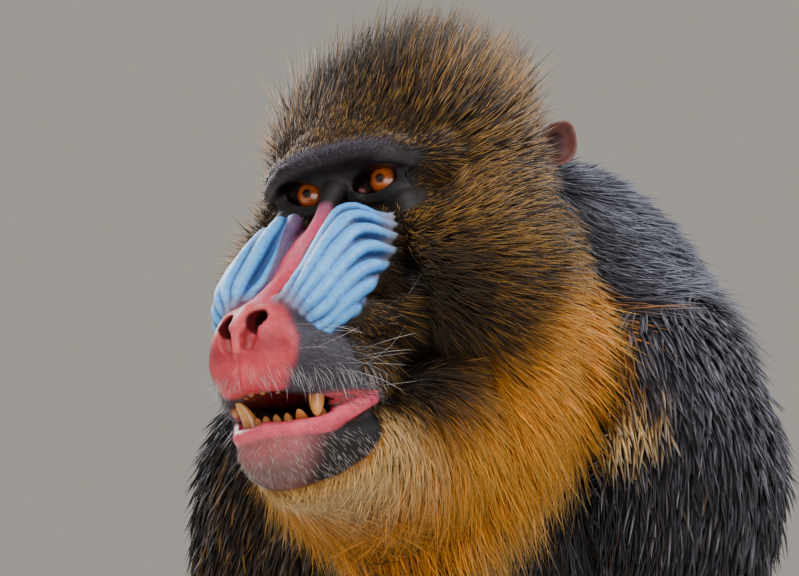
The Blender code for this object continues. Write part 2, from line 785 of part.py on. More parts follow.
def is_inside(tree, point):
    """Whether a straight line from the point crosses the closed surface an odd number of times."""
    crossings = 0
    start = point
    while crossings < MOST_CROSSINGS:
        start, _, _, _ = tree.ray_cast(start, PROBE_LINE)
        if start is None:
            break
        start = start + PROBE_LINE * 1e-5
        crossings += 1
    return crossings % 2 == 1


def is_clear(points, trees):
    """Whether a lock with these corners neither meets a neighbour nor lies inside one."""
    lock = BVHTree.FromPolygons(points, lock_faces())
    return not any(lock.overlap(tree) or is_inside(tree, points[-1]) for tree in trees)


def spread_directions(count):
    """Directions spread evenly over a ball by the golden angle."""
    out = []
    for k in range(count):
        z = 1 - 2 * (k + 0.5) / count
        flat = math.sqrt(1 - z * z)
        out.append(Vector((flat * math.cos(k * SPREAD_TURN), flat * math.sin(k * SPREAD_TURN), z)))
    return out


def grow_locks(field, nodes, turn):
    """Sets the field's locks on its node, each lifted until it clears the neighbours, and joins them to it.

    turn takes the field's own frame to the world's: the head's for what grows on the head.
    """
    name, middle, count, (length, width, thickness), lift, bend = LOCK_FIELDS[field]
    node = nodes[name]
    draw = random.Random(field)
    skin = tree_of(node)
    trees = [tree_of(other) for other in nodes.values() if other is not node]
    back = turn.inverted()
    locks = []
    for heading in spread_directions(count):
        heading = turn.to_3x3() @ heading
        place, normal, _, _ = skin.ray_cast(turn @ Vector(middle) + heading * 0.5, -heading)
        grown_by = draw.uniform(0.85, 1.15)
        lean = Vector((draw.uniform(-0.2, 0.2), draw.uniform(-0.2, 0.2), draw.uniform(-0.1, 0.1)))
        if place is None or not in_field(field, back @ place):
            continue
        lie = turn.to_3x3() @ (lie_of(field, back @ place).normalized() + lean)
        long = length * grown_by * length_share(field, back @ place)
        for extra, share in LOCK_TRIES:
            size = Vector((long * share, width * min(1.0, 0.5 + share / 2), thickness))
            stance = (place, normal, lie, math.radians(lift + extra), math.radians(bend))
            if is_clear(lock_points(size + Vector([2 * LOCK_CLEARANCE] * 3), *stance), trees):
                locks.append(lock_piece(lock_points(size, *stance)))
                break
    return united(node, locks)


def grow_coat(nodes):
    """Mane, nape, beard, cheeks and crest, in that order."""
    for field in ("mane", "nape"):
        grow_locks(field, nodes, Matrix())
    for field in ("beard", "cheek", "crown"):
        grow_locks(field, nodes, head_matrix())


def head_matrix():
    """Turns the head's frame on the neck and lifts it to its height."""
    yaw, pitch, roll = (math.radians(a) for a in HEAD_TURN)
    turn = Matrix.Rotation(yaw, 4, "Z") @ Matrix.Rotation(pitch, 4, "X") @ Matrix.Rotation(roll, 4, "Y")
    return Matrix.Translation(EYE_PLACE) @ turn


def centre_on_ground(nodes):
    """Moves everything so that the middle of the whole lies over the origin."""
    points = np.concatenate([np.array([v.co for v in o.data.vertices]) for o in nodes.values()])
    middle = (points.min(0) + points.max(0)) / 2
    for obj in nodes.values():
        obj.data.transform(Matrix.Translation((-middle[0], -middle[1], 0.0)))


# What each stretch of body is cut back from; _S stands for its own side
GROWS_FROM = {
    "belly": ["chest"],
    "pelvis": ["belly"],
    "tail": ["pelvis"],
    "upper_arm_S": ["chest", "belly", "neck"],
    "forearm_S": ["upper_arm_S"],
    "hand_S": ["forearm_S"],
    "thigh_S": ["pelvis", "belly", "forearm_S"],
    "shin_S": ["thigh_S"],
    "foot_S": ["shin_S"],
}
# Fields of locks: the part each grows on, the middle that they are spread round, how many directions
# are tried, the length, width and thickness of a lock, how far it stands up and how far it bends, in degrees
LOCK_FIELDS = {
    "crown": ("head", (0.0, 0.070, -0.010), 140, (0.054, 0.023, 0.0055), 48, 30),
    "cheek": ("head", (0.0, 0.050, -0.050), 150, (0.044, 0.024, 0.0060), 20, 18),
    "beard": ("jaw", (0.0, -0.020, -0.185), 46, (0.072, 0.027, 0.0060), 28, 40),
    "nape": ("neck", (0.0, -0.020, 0.550), 90, (0.050, 0.026, 0.0060), 18, 20),
    "mane": ("chest", (0.0, 0.040, 0.450), 136, (0.072, 0.036, 0.0065), 16, 18),
}
# Ways to bend a lock clear of a neighbour: degrees that it is lifted by, and the share of its length left
LOCK_TRIES = [(lift, share) for lift in (0, 12, 26) for share in (1.0, 0.8, 0.6, 0.45)]
LOCK_SINK = 0.009
LOCK_CLEARANCE = 0.0006
PROBE_LINE = Vector((0.137, 0.219, 0.966)).normalized()
MOST_CROSSINGS = 20
LOCK_RINGS = ((0.0, 0.80), (0.40, 1.0), (0.75, 0.72))
SPREAD_TURN = math.pi * (3 - math.sqrt(5))
LOOKS = {
    "head": FUR_BROWN,
    "muzzle": SKIN_BLUE,
    "jaw": SKIN_ROSE,
    "eye": EYE_AMBER,
    "ear": EAR_SKIN,
    "hand": SKIN_DARK,
    "foot": SKIN_DARK,
}


def main():
    """Builds the whole animal."""
    clear_scene()
    head = head_nodes()
    for obj in head.values():
        obj.data.transform(head_matrix())
    forms = body_forms()
    head["head"] = clear_of(head["head"], forms["chest"])
    head["jaw"] = clear_of(head["jaw"], forms["chest"], forms["neck"])
    nodes = {**head, **part_body(forms, head)}
    grow_coat(nodes)
    centre_on_ground(nodes)
    for name, obj in nodes.items():
        obj.name = name
        finish(obj, LOOKS.get(name.split("_")[0], FUR_GREY))


if __name__ == "__main__":
    main()
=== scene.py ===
"""Looks of a life-size mandrill that sits on its rump with its hands on the ground.

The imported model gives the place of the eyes, and everything is set out from there: one skin of the
head, trunk and limbs, the bare face with its ridges, the eyes, teeth, ears, nails and whiskers, and
a coat of solid tufts. The head is drawn in its own frame, whose origin lies midway between the eyes:
+x is the animal's left, -y is ahead of it and +z is up.
"""

import itertools
import logging
import math
from dataclasses import dataclass
from enum import Enum

import bmesh
import bpy
import numpy as np
from mathutils import Matrix, Vector

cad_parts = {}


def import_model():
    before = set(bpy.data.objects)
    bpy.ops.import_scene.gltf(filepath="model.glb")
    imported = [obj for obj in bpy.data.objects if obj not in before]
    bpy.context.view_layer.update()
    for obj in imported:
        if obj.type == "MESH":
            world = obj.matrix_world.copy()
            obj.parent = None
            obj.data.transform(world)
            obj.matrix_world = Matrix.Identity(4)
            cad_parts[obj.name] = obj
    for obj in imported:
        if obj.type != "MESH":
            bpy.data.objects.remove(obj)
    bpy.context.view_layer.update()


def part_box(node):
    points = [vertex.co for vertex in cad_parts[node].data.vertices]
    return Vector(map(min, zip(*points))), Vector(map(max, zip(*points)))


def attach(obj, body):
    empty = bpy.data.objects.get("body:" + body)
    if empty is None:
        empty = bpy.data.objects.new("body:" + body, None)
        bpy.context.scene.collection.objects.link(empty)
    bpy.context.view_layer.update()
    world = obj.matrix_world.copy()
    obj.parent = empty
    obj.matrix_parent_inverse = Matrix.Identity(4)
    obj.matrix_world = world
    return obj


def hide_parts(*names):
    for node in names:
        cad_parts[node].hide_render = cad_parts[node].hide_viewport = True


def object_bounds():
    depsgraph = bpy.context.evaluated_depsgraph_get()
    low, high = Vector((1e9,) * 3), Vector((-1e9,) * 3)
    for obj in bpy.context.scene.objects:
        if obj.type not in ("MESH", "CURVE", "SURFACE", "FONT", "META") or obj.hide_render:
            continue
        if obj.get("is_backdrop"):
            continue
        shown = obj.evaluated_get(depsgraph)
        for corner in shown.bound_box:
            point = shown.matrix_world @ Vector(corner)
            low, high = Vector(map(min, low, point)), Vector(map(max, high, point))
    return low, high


log = logging.getLogger("mandrill")

FAR = 1.0
# Points, faces of four corners and corner normals of a closed surface
Shell = tuple[np.ndarray, np.ndarray, np.ndarray]
SHADER = "Principled BSDF"
FLESH_NODES = ["head", "muzzle", "jaw", "neck", "chest", "belly", "pelvis", "tail"]
FLESH_NODES += [
    f"{limb}_{side}" for limb in ("upper_arm", "forearm", "hand", "thigh", "shin", "foot") for side in "LR"
]


class Side(Enum):
    """The animal's own left and right, as the sign of x."""

    LEFT = 1
    RIGHT = -1

    @property
    def letter(self) -> str:
        """The letter that ends a node's name on this side."""
        return "L" if self is Side.LEFT else "R"

    def mirror(self, place: tuple) -> tuple:
        """A place given for the left side, on this side."""
        return (self.value * place[0], *place[1:])


def ramp(values: np.ndarray, start: float, end: float) -> np.ndarray:
    """A smooth step from 0 at start to 1 at end, which may lie either way round.

    Args:
        values: Any array.
        start: The value where the step is 0.
        end: The value where the step is 1.

    Returns:
        The step, 3t^2 - 2t^3 of the share t of the way.
    """
    t = np.clip((values - start) / (end - start), 0.0, 1.0)
    return t * t * (3 - 2 * t)


def bump_of(values: np.ndarray, middle: float, reach: float) -> np.ndarray:
    """A bell that is 1 at middle and falls to 0 over the reach on both sides."""
    return ramp(np.abs(values - middle), reach, 0.0)


def depth_inside(flat: np.ndarray, outline: list[tuple]) -> np.ndarray:
    """How deep each place lies inside a closed outline, negative outside it.

    Args:
        flat: Places, two values to a row.
        outline: The outline's corners in order.

    Returns:
        The distance to the nearest edge, one value to a place.
    """
    corners = np.array(outline)
    inside = np.zeros(len(flat), bool)
    nearest = np.full(len(flat), FAR)
    for start, end in zip(corners, np.roll(corners, -1, axis=0)):
        edge = end - start
        share = np.clip((flat - start) @ edge / (edge @ edge), 0, 1)
        nearest = np.minimum(nearest, np.linalg.norm(flat - start - share[:, None] * edge, axis=1))
        level = np.where(edge[1] == 0, 1.0, edge[1])
        across = start[0] + (flat[:, 1] - start[1]) / level * edge[0]
        spans = (start[1] > flat[:, 1]) != (end[1] > flat[:, 1])
        inside ^= spans & (flat[:, 0] < across)
    return np.where(inside, nearest, -nearest)


def linear(hex_colour: str) -> np.ndarray:
    """Linear red, green and blue of an sRGB hex colour."""
    parts = np.array([int(hex_colour[i : i + 2], 16) / 255 for i in (0, 2, 4)])
    return np.where(parts <= 0.04045, parts / 12.92, ((parts + 0.055) / 1.055) ** 2.4)


def metres(sizes: float | list | tuple) -> float | list | tuple:
    """Sizes in millimetres, alone or in nested tables, as metres."""
    if isinstance(sizes, (list, tuple)):
        return type(sizes)(metres(size) for size in sizes)
    return round(sizes / 1000, 6)


def unit(vectors: np.ndarray) -> np.ndarray:
    """The vectors, each brought to length 1."""
    return vectors / np.maximum(np.linalg.norm(vectors, axis=-1, keepdims=True), 1e-9)


def read_rows(table: np.ndarray, row: np.ndarray) -> np.ndarray:
    """The first three columns of a table, read between its rows.

    Args:
        table: One row of values after another.
        row: Where each value is read, as a row's number with a fraction.

    Returns:
        Three values to a place.
    """
    steps = np.arange(len(table))
    return np.column_stack([np.interp(row, steps, table[:, c]) for c in range(3)])


def turn_about(axis: int, degrees: float) -> np.ndarray:
    """The matrix of a turn about one of the three axes."""
    c, s = math.cos(math.radians(degrees)), math.sin(math.radians(degrees))
    a, b = (axis + 1) % 3, (axis + 2) % 3
    matrix = np.eye(3)
    matrix[a, a], matrix[a, b], matrix[b, a], matrix[b, b] = c, -s, s, c
    return matrix


def smooth_rows(rows: list[tuple], parts: int = 4) -> np.ndarray:
    """More rows on a Catmull-Rom curve through the given ones.

    Args:
        rows: Places along a line, each with any sizes that go with it.
        parts: How many rows each stretch becomes.

    Returns:
        An array with parts rows to a stretch, and the last row.
    """
    points = np.array(rows, float)
    ends = np.vstack([2 * points[0] - points[1], points, 2 * points[-1] - points[-2]])
    a, b, c, d = (ends[k : len(ends) - 3 + k, None] for k in range(4))
    t = (np.arange(parts) / parts)[None, :, None]
    bend, twist = 2 * a - 5 * b + 4 * c - d, 3 * b - a - 3 * c + d
    curve = 0.5 * (2 * b + (c - a) * t + bend * t**2 + twist * t**3)
    return np.vstack([curve.reshape(-1, points.shape[1]), points[-1]])


@dataclass(frozen=True)
class HeadFrame:
    """Where the head stands: its origin between the eyes, and its turn on the neck."""

    eyes: np.ndarray
    turn: np.ndarray

    @classmethod
    def of_model(cls) -> "HeadFrame":
        """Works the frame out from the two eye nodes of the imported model.

        Returns:
            The frame whose eyeballs fall on those nodes.
        """
        middles = [np.mean(np.array(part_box(f"eye_{letter}")), axis=0) for letter in "LR"]
        yaw, pitch, roll = Proportions.HEAD_TURN
        turn = turn_about(2, yaw) @ turn_about(0, pitch) @ turn_about(1, roll)
        ball = np.array([0.0, Proportions.EYE_BALL[1], Proportions.EYE_BALL[2]])
        return cls(np.mean(middles, axis=0) - turn @ ball, turn)

    def outward(self, points: np.ndarray) -> np.ndarray:
        """Takes points of the head's frame to the world."""
        return points @ self.turn.T + self.eyes

    def inward(self, points: np.ndarray) -> np.ndarray:
        """Takes points of the world to the head's frame."""
        return (points - self.eyes) @ self.turn


class Proportions:
    """The sizes of the animal under its coat. A row is x, y, z, half width and half depth.

    A shape of one middle and three radii holds them in this order.
    """

    EYE_PLACE = np.array(metres([-18, -178, 600]))
    # Yaw, pitch and roll in degrees
    HEAD_TURN = (-4.4, -3.0, -7.9)
    EYE_BALL = metres((26.5, 11.5, -1.5))
    EYE_RADIUS = metres(12.5)
    EYE_OPENING = metres(((26, -5, -1.8), (14.7, 15, 6.6)))
    EYE_HOLLOW = metres(((26.5, -4, -2), (20, 22, 18)))
    CARUNCLE = metres(((14.2, 0.5, -6.2), (2.4, 2, 1.8)))
    TRUNK = metres([
        (0, 100, 48, 100, 94), (0, 108, 130, 126, 114), (0, 100, 215, 130, 122), (0, 86, 280, 128, 124),
        (0, 66, 345, 128, 127), (0, 48, 425, 129, 129), (0, 34, 496, 129, 118), (0, 22, 538, 108, 90),
    ])
    NECK = metres([(0, 15, 494, 104, 94), (0, -30, 526, 94, 82), (0, -85, 532, 82, 73)])
    TAIL = metres([
        (0, 215, 165, 17, 16), (0, 250, 190, 14, 14), (0, 268, 225, 11, 11), (0, 272, 248, 7, 7),
    ])
    UPPER_ARM = metres([
        (112, 0, 475, 58, 58), (138, -20, 420, 59, 58), (146, -48, 345, 43, 43),
        (148, -82, 268, 34, 34),
    ])
    FOREARM = metres([
        (148, -80, 270, 36, 36), (132, -118, 205, 34, 34), (108, -162, 135, 26, 26),
        (87, -195, 80, 21.5, 20),
    ])
    PALM = metres([
        (92, -186, 96, 20, 18), (88, -196, 70, 22.5, 19), (80, -218, 36, 26, 19.5),
        (76, -250, 19, 31, 15.5), (74, -274, 16.5, 32, 13.5),
    ])
    THIGH = metres([
        (85, 70, 120, 80, 84), (150, 10, 135, 72, 72), (212, -55, 160, 52, 52), (254, -98, 184, 36, 36),
    ])
    SHIN = metres([
        (254, -98, 184, 34, 34), (240, -98, 138, 32, 36), (212, -86, 85, 25, 27),
        (192, -74, 50, 20, 22),
    ])
    SOLE = metres([
        (192, -56, 46, 18, 20), (186, -56, 24, 21.5, 21.5), (188, -85, 25, 25, 24),
        (194, -140, 20, 30, 18), (200, -186, 15.5, 34, 13.5),
    ])
    # A digit's row is x and y of its root, x and y of its tip, and the radius at both ends
    FINGERS = metres([
        (50, -262, 36, -318, 9, 7.6), (65, -275, 58, -338, 9.3, 7.8), (82, -276, 81, -340, 9.3, 7.8),
        (98, -268, 104, -326, 9, 7.4), (54, -225, 30, -252, 9, 7.2),
    ])
    TOES = metres([
        (175, -185, 166, -248, 10, 8), (191, -192, 189, -262, 10, 8), (208, -192, 213, -260, 10, 8),
        (224, -184, 236, -242, 9.6, 7.6), (170, -128, 138, -172, 11, 8.6),
    ])
    SKULL = metres([
        ((0, 75, 12), (67, 85, 61)), ((0, 56, 8), (62, 50, 50)), ((50, 42, -62), (39, 44, 60)),
        ((-50, 42, -62), (39, 44, 60)), ((0, 62, -82), (58, 64, 58)),
    ])
    RUFF = metres([
        (50, 95, -10, 34, 34), (56, 85, -45, 40, 40), (60, 78, -95, 44, 46), (48, 70, -145, 44, 48),
        (20, 66, -180, 40, 44),
    ])
    FOREHEAD = metres([
        (-50, 16, 6, 12, 12), (-26, 3, 13.5, 13, 12), (0, -1, 17.5, 13, 12), (26, 3, 16, 13, 12),
        (50, 16, 8.5, 12, 12),
    ])
    CHEEKBONE = metres([(44, 6, -20, 11, 12), (49, 9, -40, 15, 16), (50, 16, -75, 22, 23)])
    BROW = metres([
        (-52, 4, 5.5, 5.8, 8), (-38, -6, 10.5, 6.8, 9), (-16, -11, 13.8, 7.4, 9),
        (0, -11.5, 15, 7.4, 8.5), (16, -11, 15.2, 7.4, 9), (38, -5.5, 13.5, 7, 9), (50, 3.5, 8, 4.8, 7),
    ])
    MUZZLE = metres([
        (0, 20, -72, 50, 56), (0, -20, -82.5, 46, 52.5), (0, -55, -98, 40, 36), (0, -85, -107, 36, 27),
        (0, -108, -109, 29, 23),
    ])
    LIP_FLESH = metres([
        (15, -108, -122, 14, 15), (25, -90, -124, 13.5, 16.5), (33, -66, -124, 13, 17.5),
        (37, -45, -122, 12, 18),
    ])
    BRIDGE = metres([
        (0, -8, -5, 9, 6.2), (0, -17.2, -16.3, 6.8, 6.2), (0, -24.5, -25.3, 6.2, 6.2),
        (0, -41.4, -42.3, 6.4, 6.4), (0, -61.3, -59.8, 6.8, 6.4), (0, -86.8, -77.3, 7.8, 6.8),
        (0, -109, -91.5, 12, 7),
    ])
    NOSE = metres([
        ((0, -97, -101), (24, 15.5, 17)), ((14, -98.5, -98.5), (11.5, 13, 11.5)),
        ((-14, -98.5, -98.5), (11.5, 13, 11.5)), ((0, -108, -118.5), (28.5, 19, 16.8)),
    ])
    COLUMELLA = metres([
        (0, -114.5, -89, 4.6, 4.4), (0, -122.2, -97.5, 3.2, 4.4), (0, -128.2, -108.5, 2.4, 3.6),
        (0, -130.5, -115, 1.5, 2),
    ])
    PHILTRUM = metres([(0, -129, -110, 0.7, 1.2), (0, -130, -120, 0.9, 1.6), (0, -131, -134, 0.8, 1.4)])
    NOSTRIL = metres(((10.2, -117, -97.8), (6.2, 12.5, 7.4)))
    NOSTRIL_DENT = metres(((7.8, -127.8, -107), (4.4, 4.8, 7.2)))
    UPPER_LIP = metres([
        (0, -124, -130, 5.8, 5.8), (16, -113, -132.5, 5.6, 5.6), (26.5, -95, -137, 5.2, 5.4),
        (35, -80, -140.5, 4.8, 5), (45.5, -59, -137.5, 4.2, 4.4),
    ])
    LOWER_LIP = metres([
        (0, -104.5, -158.5, 4.5, 5), (21.5, -99, -159.5, 4.5, 5), (30.5, -87, -156.7, 4.3, 4.8),
        (38.5, -74.5, -150.7, 4.2, 4.6), (45.5, -59, -142.5, 4.2, 4.4),
    ])
    JAW_SIDE = metres([
        (12, -82, -167, 18, 15), (23, -60, -166, 18.5, 17.5), (32, -20, -159, 22, 25),
        (37, 25, -148, 30, 40),
    ])
    CHIN = metres([
        ((0, -80, -170), (29, 26.5, 22.5)), ((0, -45, -170), (35, 48, 23)),
        ((0, 5, -165), (45, 55, 33)),
    ])
    MOUTH = metres([
        (0, -142, -146.5, 52, 9.8), (0, -105, -147.5, 41, 9.8), (0, -80, -146.5, 37, 8.8),
        (0, -56, -141, 35, 6), (0, -20, -140, 22, 5),
    ])
    MOUTH_FLESH = metres([
        ((0, -68, -157.5), (30, 34, 10.5)), ((0, -72, -134), (30, 40, 9.5)),
        ((32, -64, -147), (7.5, 19, 11)), ((-32, -64, -147), (7.5, 19, 11)),
    ])
    RIDGES_PER_SIDE = 8
    # Four lines along the swelling beside the nose, and the share of the way out of each
    RIDGE_SHARES = (0.0, 0.28, 0.64, 1.0)
    RIDGE_LINES = metres([
        [
            (13, -96, -80), (14, -76.5, -69), (14, -56.8, -50.7), (15, -42, -34.5),
            (18.5, -27.6, -22.8), (45.5, -15.3, -26.2),
        ],
        [
            (21, -102.5, -84.5), (28.5, -90.5, -69), (29.6, -75.5, -54.5), (29.6, -60.4, -42),
            (30.5, -40, -30), (47, -16.5, -33),
        ],
        [
            (26.5, -97, -94.3), (35, -92.9, -87.6), (39, -83.7, -78.4), (42, -71.6, -68.2),
            (45, -52.9, -58.4), (52, -29.3, -55.9),
        ],
        [
            (31.5, -91, -102.9), (34.5, -85.8, -101.7), (38, -82.1, -98.4), (41, -77.4, -94.2),
            (43, -69.9, -88.5), (44, -61.4, -80.1),
        ],
    ])


@dataclass(frozen=True)
class Tube:
    """A bent tube of oval sections with round ends."""

    rows: np.ndarray

    @classmethod
    def through(cls, rows: list[tuple], side: Side = Side.LEFT) -> "Tube":
        """A smooth tube through rows of place, half width and half depth, on one side of the body."""
        smooth = smooth_rows(rows)
        smooth[:, 0] *= side.value
        return cls(smooth)

    def moved(self, shift: np.ndarray) -> "Tube":
        """The same tube, shifted."""
        rows = self.rows.copy()
        rows[:, :3] += shift
        return Tube(rows)

    def box(self) -> tuple[np.ndarray, np.ndarray]:
        """The lowest and highest corner that the tube can reach."""
        reach = self.rows[:, 3:5].max()
        return self.rows[:, :3].min(0) - reach, self.rows[:, :3].max(0) + reach

    def measured(self, points: np.ndarray) -> tuple[np.ndarray, np.ndarray, np.ndarray]:
        """Measures points against the tube.

        On each stretch a point is scaled by the oval's half axes at its foot on the middle line, and
        the distance is the scaled length less 1, times the smaller half axis.

        Args:
            points: Places, one to a row.

        Returns:
            The signed distance, the share of the tube's length at the foot, and the angle round it.
        """
        best = np.full(len(points), np.inf)
        along = np.zeros(len(points))
        angle = np.zeros(len(points))
        stretches = len(self.rows) - 1
        for k, (a, b) in enumerate(zip(self.rows[:-1], self.rows[1:])):
            way = b[:3] - a[:3]
            length = np.linalg.norm(way)
            way = way / length
            across = np.array([1.0, 0.0, 0.0]) - way * way[0]
            if np.linalg.norm(across) < 0.3:
                across = np.array([0.0, 0.0, 1.0]) - way * way[2]
            across /= np.linalg.norm(across)
            up = np.cross(way, across)
            gap = points - a[:3]
            share = np.clip(gap @ way / length, 0.0, 1.0)
            wide = a[3] + share * (b[3] - a[3])
            deep = a[4] + share * (b[4] - a[4])
            round_end = np.minimum(wide, deep)
            u, v = gap @ across, gap @ up
            w = gap @ way - share * length
            scaled = np.sqrt((u / wide) ** 2 + (v / deep) ** 2 + (w / round_end) ** 2)
            distance = (scaled - 1) * round_end
            nearer = distance < best
            best = np.where(nearer, distance, best)
            along = np.where(nearer, (k + share) / stretches, along)
            angle = np.where(nearer, np.arctan2(v, u), angle)
        return best, along, angle

    def distance(self, points: np.ndarray) -> np.ndarray:
        """The signed distance of each point from the tube's face."""
        return self.measured(points)[0]


@dataclass(frozen=True)
class Ball:
    """A ball stretched along its own three axes and turned."""

    centre: tuple
    radii: tuple
    turn: np.ndarray | None = None

    def box(self) -> tuple[np.ndarray, np.ndarray]:
        """The lowest and highest corner that the ball can reach."""
        reach = np.array(self.radii) if self.turn is None else max(self.radii)
        return np.array(self.centre) - reach, np.array(self.centre) + reach

    def distance(self, points: np.ndarray) -> np.ndarray:
        """The signed distance: k0 (k0 - 1) / k1 of the lengths scaled by the radii once and twice."""
        gap = points - np.array(self.centre)
        if self.turn is not None:
            gap = gap @ self.turn
        radii = np.array(self.radii)
        once = np.linalg.norm(gap / radii, axis=1)
        twice = np.linalg.norm(gap / radii**2, axis=1)
        return once * (once - 1) / np.maximum(twice, 1e-9)


@dataclass(frozen=True)
class OnHead:
    """A shape of the head's frame, seen from the world."""

    shape: Tube | Ball
    head: HeadFrame

    def box(self) -> tuple[np.ndarray, np.ndarray]:
        """The lowest and highest corner of the turned box."""
        low, high = self.shape.box()
        corners = np.array(list(itertools.product(*zip(low, high))))
        placed = self.head.outward(corners)
        return placed.min(0), placed.max(0)

    def distance(self, points: np.ndarray) -> np.ndarray:
        """The signed distance of each point from the shape's face."""
        return self.shape.distance(self.head.inward(points))


class Block:
    """Signed distances on a grid, which shapes are added to and cut from, and which becomes one surface."""

    def __init__(self, low: np.ndarray, high: np.ndarray, step: float) -> None:
        """Sets out an empty grid.

        Args:
            low: The block's lowest corner.
            high: Its highest corner.
            step: The distance between two grid points.
        """
        self.low = np.array(low, float)
        self.step = step
        size = np.ceil((np.array(high) - self.low) / step).astype(int) + 1
        self.values = np.full(size, FAR)

    def _near(self, shape: Tube | Ball | OnHead, blend: float) -> tuple[tuple, np.ndarray]:
        """The part of the grid that a shape can touch.

        Args:
            shape: What is measured.
            blend: How far it melts into its neighbours.

        Returns:
            The slices of the grid, and the signed distances there.
        """
        low, high = shape.box()
        margin = blend + 3 * self.step
        start = np.clip(np.floor((low - margin - self.low) / self.step).astype(int), 0, self.values.shape)
        end = np.clip(np.ceil((high + margin - self.low) / self.step).astype(int) + 1, 0, self.values.shape)
        axes = [self.low[k] + np.arange(start[k], end[k]) * self.step for k in range(3)]
        points = np.stack(np.meshgrid(*axes, indexing="ij"), axis=-1)
        slices = tuple(slice(s, e) for s, e in zip(start, end))
        return slices, shape.distance(points.reshape(-1, 3)).reshape(points.shape[:3])

    def add(self, shape: Tube | Ball | OnHead, blend: float) -> None:
        """Melts a shape into what is there: the smaller distance, less h^2 k / 4 where they are close."""
        where, new = self._near(shape, blend)
        old = self.values[where]
        h = np.maximum(blend - np.abs(new - old), 0) / blend
        self.values[where] = np.minimum(new, old) - h * h * blend / 4

    def cut(self, shape: Tube | Ball | OnHead, blend: float) -> None:
        """Takes a shape away: the larger of the distance and the shape's own turned inside out."""
        where, new = self._near(shape, blend)
        old = self.values[where]
        h = np.maximum(blend - np.abs(-new - old), 0) / blend
        self.values[where] = np.maximum(-new, old) + h * h * blend / 4

    def surface(self) -> tuple[np.ndarray, np.ndarray]:
        """The surface where the distance is 0, with one corner in each cell that it passes through.

        A corner is the mean of the places where the cell's edges cross the surface, and each crossed
        edge inside the block gives a face between the four cells round it.

        Returns:
            The corners, and the faces of four corners each.
        """
        values = self.values.copy()
        for axis in range(3):
            for end in (0, -1):
                rim = [slice(None)] * 3
                rim[axis] = end
                values[tuple(rim)] = np.maximum(values[tuple(rim)], self.step / 2)
        inside = values < 0
        size = np.array(values.shape) - 1
        count = np.zeros(size, np.int8)
        offsets = list(itertools.product((0, 1), repeat=3))
        for i, j, k in offsets:
            count += inside[i : size[0] + i, j : size[1] + j, k : size[2] + k]
        cells = np.array(np.nonzero((count > 0) & (count < 8))).T
        corner_values = {o: values[tuple((cells + o).T)] for o in offsets}
        total = np.zeros((len(cells), 3))
        crossings = np.zeros(len(cells))
        for start in offsets:
            for axis in range(3):
                if start[axis]:
                    continue
                end = tuple(s + (a == axis) for a, s in enumerate(start))
                one, two = corner_values[start], corner_values[end]
                crossed = (one < 0) != (two < 0)
                share = np.where(crossed, one / np.where(crossed, one - two, 1), 0)
                place = np.array(start, float) + share[:, None] * np.eye(3)[axis]
                total += place * crossed[:, None]
                crossings += crossed
        points = self.low + (cells + total / crossings[:, None]) * self.step
        number = np.full(size, -1, np.int64)
        number[tuple(cells.T)] = np.arange(len(cells))
        faces = []
        for axis in range(3):
            b, c = (axis + 1) % 3, (axis + 2) % 3
            core = [slice(1, -1)] * 3
            core[axis] = slice(0, -1)
            ahead = list(core)
            ahead[axis] = slice(1, None)
            first, second = inside[tuple(core)], inside[tuple(ahead)]
            edges = np.array(np.nonzero(first != second)).T
            leaves = first[tuple(edges.T)]
            edges[:, [b, c]] += 1
            quad = []
            for db, dc in ((-1, -1), (0, -1), (0, 0), (-1, 0)):
                cell = edges.copy()
                cell[:, b] += db
                cell[:, c] += dc
                quad.append(number[tuple(cell.T)])
            quad = np.array(quad).T
            faces.append(np.where(leaves[:, None], quad, quad[:, ::-1]))
        return points, np.vstack(faces)


# How far a corner goes towards the mean of its neighbours, and back
RELAX_STEPS = (0.5, -0.52)


def relaxed(points: np.ndarray, faces: np.ndarray, rounds: int) -> np.ndarray:
    """Evens a surface out: each corner goes half way to the mean of its neighbours, and part of it back.

    Args:
        points: The corners.
        faces: Faces of four corners.
        rounds: How often it is done.

    Returns:
        The corners' new places.
    """
    pairs = np.vstack([faces[:, [k, (k + 1) % 4]] for k in range(4)])
    for step in range(2 * rounds):
        total = np.zeros_like(points)
        for axis in range(3):
            total[:, axis] = np.bincount(pairs[:, 0], points[pairs[:, 1], axis], len(points))
        number = np.bincount(pairs[:, 0], minlength=len(points))
        mean = total / np.maximum(number, 1)[:, None]
        points = points + RELAX_STEPS[step % 2] * (mean - points)
    return points


def joined(parts: list[tuple[np.ndarray, np.ndarray]]) -> tuple[np.ndarray, np.ndarray]:
    """One array of points and one of faces from several meshes."""
    starts = np.cumsum([0] + [len(points) for points, _ in parts[:-1]])
    faces = [faces + start for (_, faces), start in zip(parts, starts)]
    return np.vstack([points for points, _ in parts]), np.vstack(faces)


def grid_faces(rows: int, columns: int) -> np.ndarray:
    """The faces of a grid of corners whose last column meets its first.

    Args:
        rows: How many rows of corners there are.
        columns: How many corners lie in a row.

    Returns:
        Faces of four corners.
    """
    r, c = np.meshgrid(np.arange(rows - 1), np.arange(columns), indexing="ij")
    n = (c + 1) % columns
    corners = [r * columns + c, (r + 1) * columns + c, (r + 1) * columns + n, r * columns + n]
    return np.stack(corners, axis=-1).reshape(-1, 4)


def across_faces(points: np.ndarray, faces: np.ndarray) -> np.ndarray:
    """The cross product of each face's diagonals: its normal, twice as long as its area."""
    return np.cross(points[faces[:, 2]] - points[faces[:, 0]], points[faces[:, 3]] - points[faces[:, 1]])


